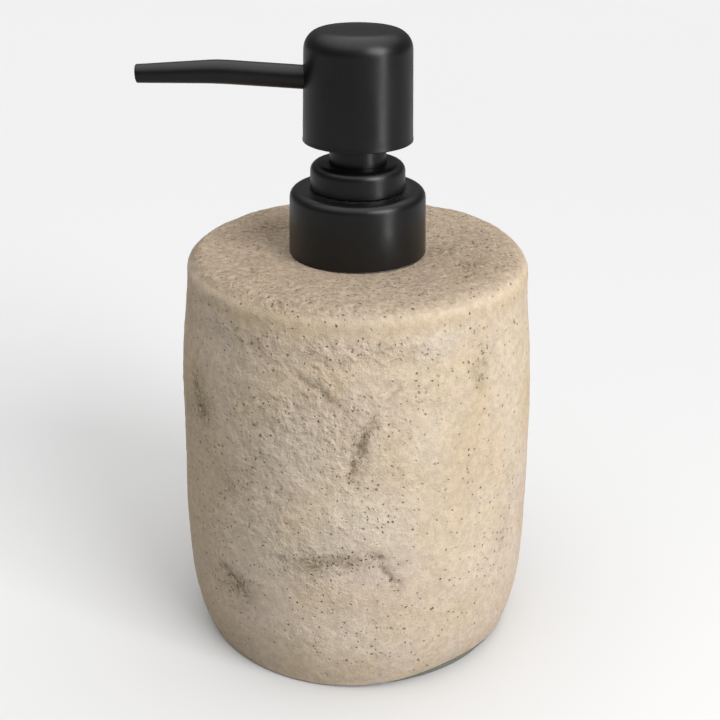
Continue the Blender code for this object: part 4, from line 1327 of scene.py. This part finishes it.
@dataclass
class Retainer(Turned):
    """The stepped ring that the neck sleeve slides into."""

    draft: float = 0.11 * MM
    fillet: float = 2.1 * MM
    skirt: float = 8.9 * MM
    bore: float = 7.0 * MM
    gap: float = 0.1 * MM
    stem_hole: float = 3.9 * MM
    shelf: float = 1.8 * MM

    def make(self, material: bpy.types.Material) -> None:
        """Builds the ring: a round-shouldered step, a skirt below it and a shelf at its foot.

        Args:
            material: The finish.
        """
        low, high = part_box("retainer_ring")
        step_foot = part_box("collar_shell")[1].z + self.gap
        corners = [
            (self.stem_hole, low.z, self.edge),
            (self.skirt, low.z, self.edge),
            (self.skirt, step_foot, self.edge),
            (high.x, step_foot, self.edge),
            (high.x - self.draft, high.z, self.fillet),
            (self.bore, high.z, self.edge / 2),
            (self.bore, low.z + self.shelf, self.edge),
            (self.stem_hole, low.z + self.shelf, self.edge),
        ]
        dress(self.turn("stepped_ring", corners), material, Slot.BLACK, Body.PUMP, "retainer_ring")


@dataclass
class Head(Turned):
    """The press-down head: a domed cup, the sleeve round the stem and the spout."""

    draft: float = 0.50 * MM
    fillet: float = 4.6 * MM
    crown: float = 1.15 * MM
    dome_share: float = 0.6
    wall: float = 1.2 * MM
    roof: float = 1.6 * MM
    flare: float = 0.12 * MM
    flare_height: float = 1.1 * MM
    sleeve_wall: float = 1.3 * MM
    spout_line: float = 12.5 * MM
    rise: float = math.radians(3.5)
    fall: float = math.radians(1.75)
    bend: float = 33.0 * MM
    bend_length: float = 8.0 * MM
    spout_start: float = 6.2 * MM
    spout_radius: float = 2.8 * MM
    tip_radius: float = 2.16 * MM
    spout_bore: float = 1.5 * MM
    tip_round: float = 0.4 * MM

    def build_cup(self) -> bpy.types.Object:
        """The cup: up inside, over its rim and up the side, then a paraboloid crown to the pole.

        Returns:
            The cup's object.
        """
        low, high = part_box("head_shell")
        rim = high.x
        top = rim - self.flare - self.draft
        shoulder, ceiling = high.z - self.crown, high.z - self.crown - self.roof
        share = np.linspace(self.dome_share, 0.0, 14)
        dome = [(top * s, shoulder + self.crown * (1 - s**2)) for s in share]
        corner = shoulder + self.crown * (1 - self.dome_share) ** 2
        corners = [
            (0, ceiling),
            (top - self.wall, ceiling, self.fillet - self.wall),
            (rim - self.wall, low.z, self.edge),
            (rim, low.z, self.edge),
            (rim - self.flare, low.z + self.flare_height, 1.2 * MM),
            (top, corner, self.fillet),
            *dome,
        ]
        line = outline(corners, self.step, 10)
        return surface("press_head", revolve(line, self.sides), closed=False)

    def build_sleeve(self) -> bpy.types.Object:
        """The sleeve: a plain ring between its CAD ends.

        Returns:
            The sleeve's object.
        """
        low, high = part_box("neck_sleeve")
        inner = high.x - self.sleeve_wall
        corners = [
            (inner, low.z, self.edge),
            (high.x, low.z, self.edge),
            (high.x, high.z, self.edge),
            (inner, high.z, self.edge),
        ]
        return self.turn("neck_tube", corners)

    def build_spout(self) -> bpy.types.Object:
        """The spout: circles carried along a line that rises, bends over and falls to the tip.

        Its slope goes from the rise to the fall by a smooth step over the bend, and its height is
        the running sum of the slope. Its radius shrinks evenly from the bend to the tip, and the
        line comes back inside at the bore.

        Returns:
            The spout's object.
        """
        reach = -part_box("spout")[0].x
        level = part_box("head_shell")[1].z - self.spout_line
        tip = reach - self.tip_round + self.tip_round * np.sin(np.linspace(0, math.pi / 2, 6))
        straight = np.linspace(self.spout_start, reach - self.tip_round * 1.05, 110)
        away = np.concatenate([straight, tip])
        share = np.clip((away - self.bend) / self.bend_length + 0.5, 0, 1)
        slope = np.tan(self.rise + (-self.rise - self.fall) * share**2 * (3 - 2 * share))
        start = level + self.spout_start * math.tan(self.rise)
        climb = np.diff(away) * (slope[1:] + slope[:-1]) / 2
        height = start + np.concatenate([[0], np.cumsum(climb)])
        taper = np.clip((away - self.bend) / (reach - self.bend), 0, 1)
        radius = self.spout_radius + (self.tip_radius - self.spout_radius) * taper
        past = np.clip((away - reach + self.tip_round) / self.tip_round, 0, 1)
        radius -= self.tip_round * (1 - np.sqrt(1 - past**2))
        bore = np.full(len(away), self.spout_bore)
        bore[-1] += 0.25 * MM
        away = np.concatenate([away, away[::-1]])
        height = np.concatenate([height, height[::-1]])
        slope = np.concatenate([slope, slope[::-1]])
        radius = np.concatenate([radius, bore[::-1]])[:, None]
        turn = np.linspace(0, 2 * math.pi, 64, endpoint=False)[None]
        lean = np.arctan(slope)[:, None]
        up, across = radius * np.cos(turn), radius * np.sin(turn)
        out, rise = up * np.sin(lean) - away[:, None], height[:, None] + up * np.cos(lean)
        return surface("curved_spout", np.stack([out, across, rise], axis=-1), closed=True)

    def make(self, material: bpy.types.Material) -> None:
        """Builds and dresses the head's outer pieces.

        Args:
            material: The finish.
        """
        dress(self.build_cup(), material, Slot.BLACK, Body.HEAD, "head_shell")
        dress(self.build_sleeve(), material, Slot.BLACK, Body.HEAD, "neck_sleeve")
        dress(self.build_spout(), material, Slot.BLACK, Body.HEAD, "spout")


# --- Inner works --------------------------------------------------------------------------------
@dataclass
class ReturnSpring:
    """The round-wire compression spring; it shortens as the head goes down."""

    wire: float = 0.9 * MM
    coils: float = 8.5
    end_coils: float = 0.9
    end_gap: float = 0.135 * MM
    stroke: float = 10.5 * MM
    steps: int = 340
    sides: int = 14

    def build(self) -> bpy.types.Object:
        """The wire swept along a helix.

        The end coils rise by a wire and a hair a turn, so they lie closed, and the coils between
        them share out the rest of the height evenly.

        Returns:
            The spring's object.
        """
        low, high = (np.array(corner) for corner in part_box("return_spring"))
        centre, reach = (low + high) / 2, (high[0] - low[0] - self.wire) / 2
        bottom, top = low[2] + self.wire / 2, high[2] - self.wire / 2
        closed = (self.wire + self.end_gap) * self.end_coils
        turn = np.linspace(0, self.coils, self.steps)
        knots = [0, self.end_coils, self.coils - self.end_coils, self.coils]
        height = np.interp(turn, knots, [bottom, bottom + closed, top - closed, top])
        around = np.linspace(0, 2 * np.pi, self.sides, endpoint=False)
        radius = np.concatenate([[0.0], np.full(self.steps, self.wire / 2), [0.0]])[:, None]
        angle = 2 * np.pi * np.pad(turn, 1, mode="edge")[:, None]
        out = reach + radius * np.cos(around)
        x, y = centre[0] + out * np.cos(angle), centre[1] + out * np.sin(angle)
        z = np.pad(height, 1, mode="edge")[:, None] + radius * np.sin(around)
        return surface("coil_spring", np.stack([x, y, z], axis=-1), closed=False)

    def make(self, steel: bpy.types.Material) -> None:
        """Builds and dresses the spring, and gives it a mesh of its own.

        Args:
            steel: The finish.
        """
        spring = self.build()
        dress(spring, steel, Slot.STEEL, Body.PUMP, "return_spring")
        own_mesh(spring)


@dataclass
class InnerWorks:
    """The carried-over pieces inside: each keeps its shape and gets its finish."""

    nodes: tuple = (
        ("neck_insert", Slot.INSERT),
        ("collar_cap", Slot.INNER_BLACK),
        ("head_core", Slot.INNER_BLACK),
        ("closure_gasket", Slot.SEAL),
        ("stem_wiper", Slot.SEAL),
        ("piston", Slot.SEAL),
        ("pump_housing", Slot.NATURAL),
        ("spring_seat", Slot.NATURAL),
        ("outer_stem", Slot.NATURAL),
        ("poppet_rod", Slot.NATURAL),
        ("dip_tube", Slot.TUBE),
        ("inlet_ball", Slot.STEEL),
    )

    def make(self, effects: Effects) -> None:
        """Dresses each node in the finish of its slot, and builds the spring.

        Args:
            effects: The shared effects.
        """
        pale = {"dust": (0.5, 0.47, 0.42, 1)}
        finishes = {
            Slot.INNER_BLACK: ("moulded_black", (0.02, 0.02, 0.021, 1), 0.5, {}),
            Slot.INSERT: ("moulded_insert", (0.62, 0.61, 0.57, 1), 0.5, pale | {"film": 0.2}),
            Slot.NATURAL: (
                "natural_moulding",
                (0.75, 0.75, 0.73, 1),
                0.42,
                pale | {"see_through": 0.3},
            ),
            Slot.TUBE: ("drawn_tubing", (0.78, 0.8, 0.8, 1), 0.3, pale | {"see_through": 0.4}),
            Slot.SEAL: ("soft_seal", (0.55, 0.56, 0.58, 1), 0.62, pale | {"grain": 0.03 * MM}),
        }
        made = {
            slot: MouldedFinish(name, colour, roughness, **extras).make(effects)
            for slot, (name, colour, roughness, extras) in finishes.items()
        }
        made[Slot.STEEL] = SteelFinish().make(effects)
        ReturnSpring().make(made[Slot.STEEL])
        for name, slot in self.nodes:
            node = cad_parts[name]
            for holder in node.material_slots:
                holder.material = made[slot]
            log.info("%s: carried over, dressed as %s", name, slot.value)


# --- Studio -------------------------------------------------------------------------------------
@dataclass
class Studio:
    """Floor, light and camera."""

    lens: float = 62.0
    back: float = 0.2922
    height: float = 0.2088
    pitch: float = math.radians(25.0)
    roll: float = math.radians(0.25)
    shift: float = 0.0042
    horizon: float = 0.14
    zenith: float = 1.9
    backdrop: float = 0.88
    key_azimuth: float = math.radians(45.0)
    key_elevation: float = math.radians(30.0)
    key_spread: float = math.radians(35.0)
    key_power: float = 1.92
    strip_azimuth: float = math.radians(51.0)
    strip_away: float = 0.30
    strip_size: tuple = (0.046, 0.28)
    strip_power: float = 0.245
    floor_reach: float = 5.0

    def make(self) -> None:
        """Sets the stage."""
        bpy.context.scene.view_settings.view_transform = "Standard"
        self.make_sky()
        self.make_key()
        self.make_strip()
        self.make_floor()
        self.make_camera()

    def make_sky(self) -> None:
        """A surround that is dim at the horizon and bright overhead, and looks white itself."""
        world = bpy.data.worlds.new("studio")
        world.use_nodes = True
        graph = Graph(world.node_tree)
        way = graph.add("ShaderNodeTexCoord").outputs["Generated"]
        height = graph.add("ShaderNodeSeparateXYZ", {0: way}).outputs["Z"]
        strength = graph.ramp(height, 0.42, 1.0, self.horizon, self.zenith)
        background = world.node_tree.nodes["Background"]
        background.inputs["Color"].default_value = (1, 1, 1, 1)
        seen = graph.add("ShaderNodeLightPath").outputs["Is Camera Ray"]
        shown = graph.math("MAXIMUM", strength, graph.math("MULTIPLY", seen, self.backdrop))
        graph.tree.links.new(shown, background.inputs["Strength"])
        bpy.context.scene.world = world

    def make_key(self) -> None:
        """One very wide soft light from the front right."""
        data = bpy.data.lights.new("key", "SUN")
        data.angle, data.energy = self.key_spread, self.key_power
        flat = math.cos(self.key_elevation)
        across, forward = math.sin(self.key_azimuth) * flat, math.cos(self.key_azimuth) * flat
        way = Vector((across, -forward, math.sin(self.key_elevation)))
        key = bpy.data.objects.new("key", data)
        key.matrix_world = way.to_track_quat("Z", "Y").to_matrix().to_4x4()
        bpy.context.scene.collection.objects.link(key)

    def make_strip(self) -> None:
        """A tall narrow light standing on the floor at the right, facing the axis."""
        data = bpy.data.lights.new("strip", "AREA")
        data.shape = "RECTANGLE"
        data.size, data.size_y = self.strip_size
        data.energy = self.strip_power
        way = Vector((math.sin(self.strip_azimuth), -math.cos(self.strip_azimuth), 0))
        strip = bpy.data.objects.new("strip", data)
        centre = way * self.strip_away + Vector((0, 0, self.strip_size[1] / 2 + 0.005))
        facing = way.to_track_quat("Z", "Y").to_matrix().to_4x4()
        strip.matrix_world = Matrix.Translation(centre) @ facing
        strip.visible_camera = False
        bpy.context.scene.collection.objects.link(strip)

    def make_floor(self) -> None:
        """A wide flat sheet under the object, its top at the height that the object stands on."""
        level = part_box("base_pad")[0].z - 0.05 * MM
        mesh = bpy.data.meshes.new("floor")
        reach = self.floor_reach
        corners = [(-reach, -reach), (reach, -reach), (reach, reach), (-reach, reach)]
        mesh.from_pydata([(x, y, level) for x, y in corners], [], [(0, 1, 2, 3)])
        floor = bpy.data.objects.new("floor", mesh)
        bpy.context.scene.collection.objects.link(floor)
        floor.data.materials.append(FloorFinish().make())

    def make_camera(self) -> None:
        """A camera in front of the object and above it, looking down at its middle."""
        data = bpy.data.cameras.new("camera")
        data.lens, data.sensor_width, data.shift_x = self.lens, 36.0, self.shift
        data.clip_start, data.clip_end = 0.01, 30.0
        camera = bpy.data.objects.new("camera", data)
        camera.matrix_world = (
            Matrix.Translation((0, -self.back, self.height))
            @ Matrix.Rotation(math.pi / 2 - self.pitch, 4, "X")
            @ Matrix.Rotation(self.roll, 4, "Z")
        )
        bpy.context.scene.collection.objects.link(camera)
        bpy.context.scene.camera = camera


def main() -> None:
    """Builds the dispenser from the floor up, then the studio round it."""
    logging.basicConfig(level=logging.INFO, format="%(name)s: %(message)s")
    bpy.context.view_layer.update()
    effects = Effects.make()
    StoneVessel().make(effects)
    black = MouldedFinish(
        "satin_black",
        (0.0029, 0.0029, 0.0033, 1),
        0.33,
        grain=0.01 * MM,
        specks=0.06,
        film=0.006,
        specular=0.42,
    ).make(effects)
    Collar().make(black)
    Retainer().make(black)
    Head().make(black)
    InnerWorks().make(effects)
    Studio().make()


if __name__ == "__main__":
    main()
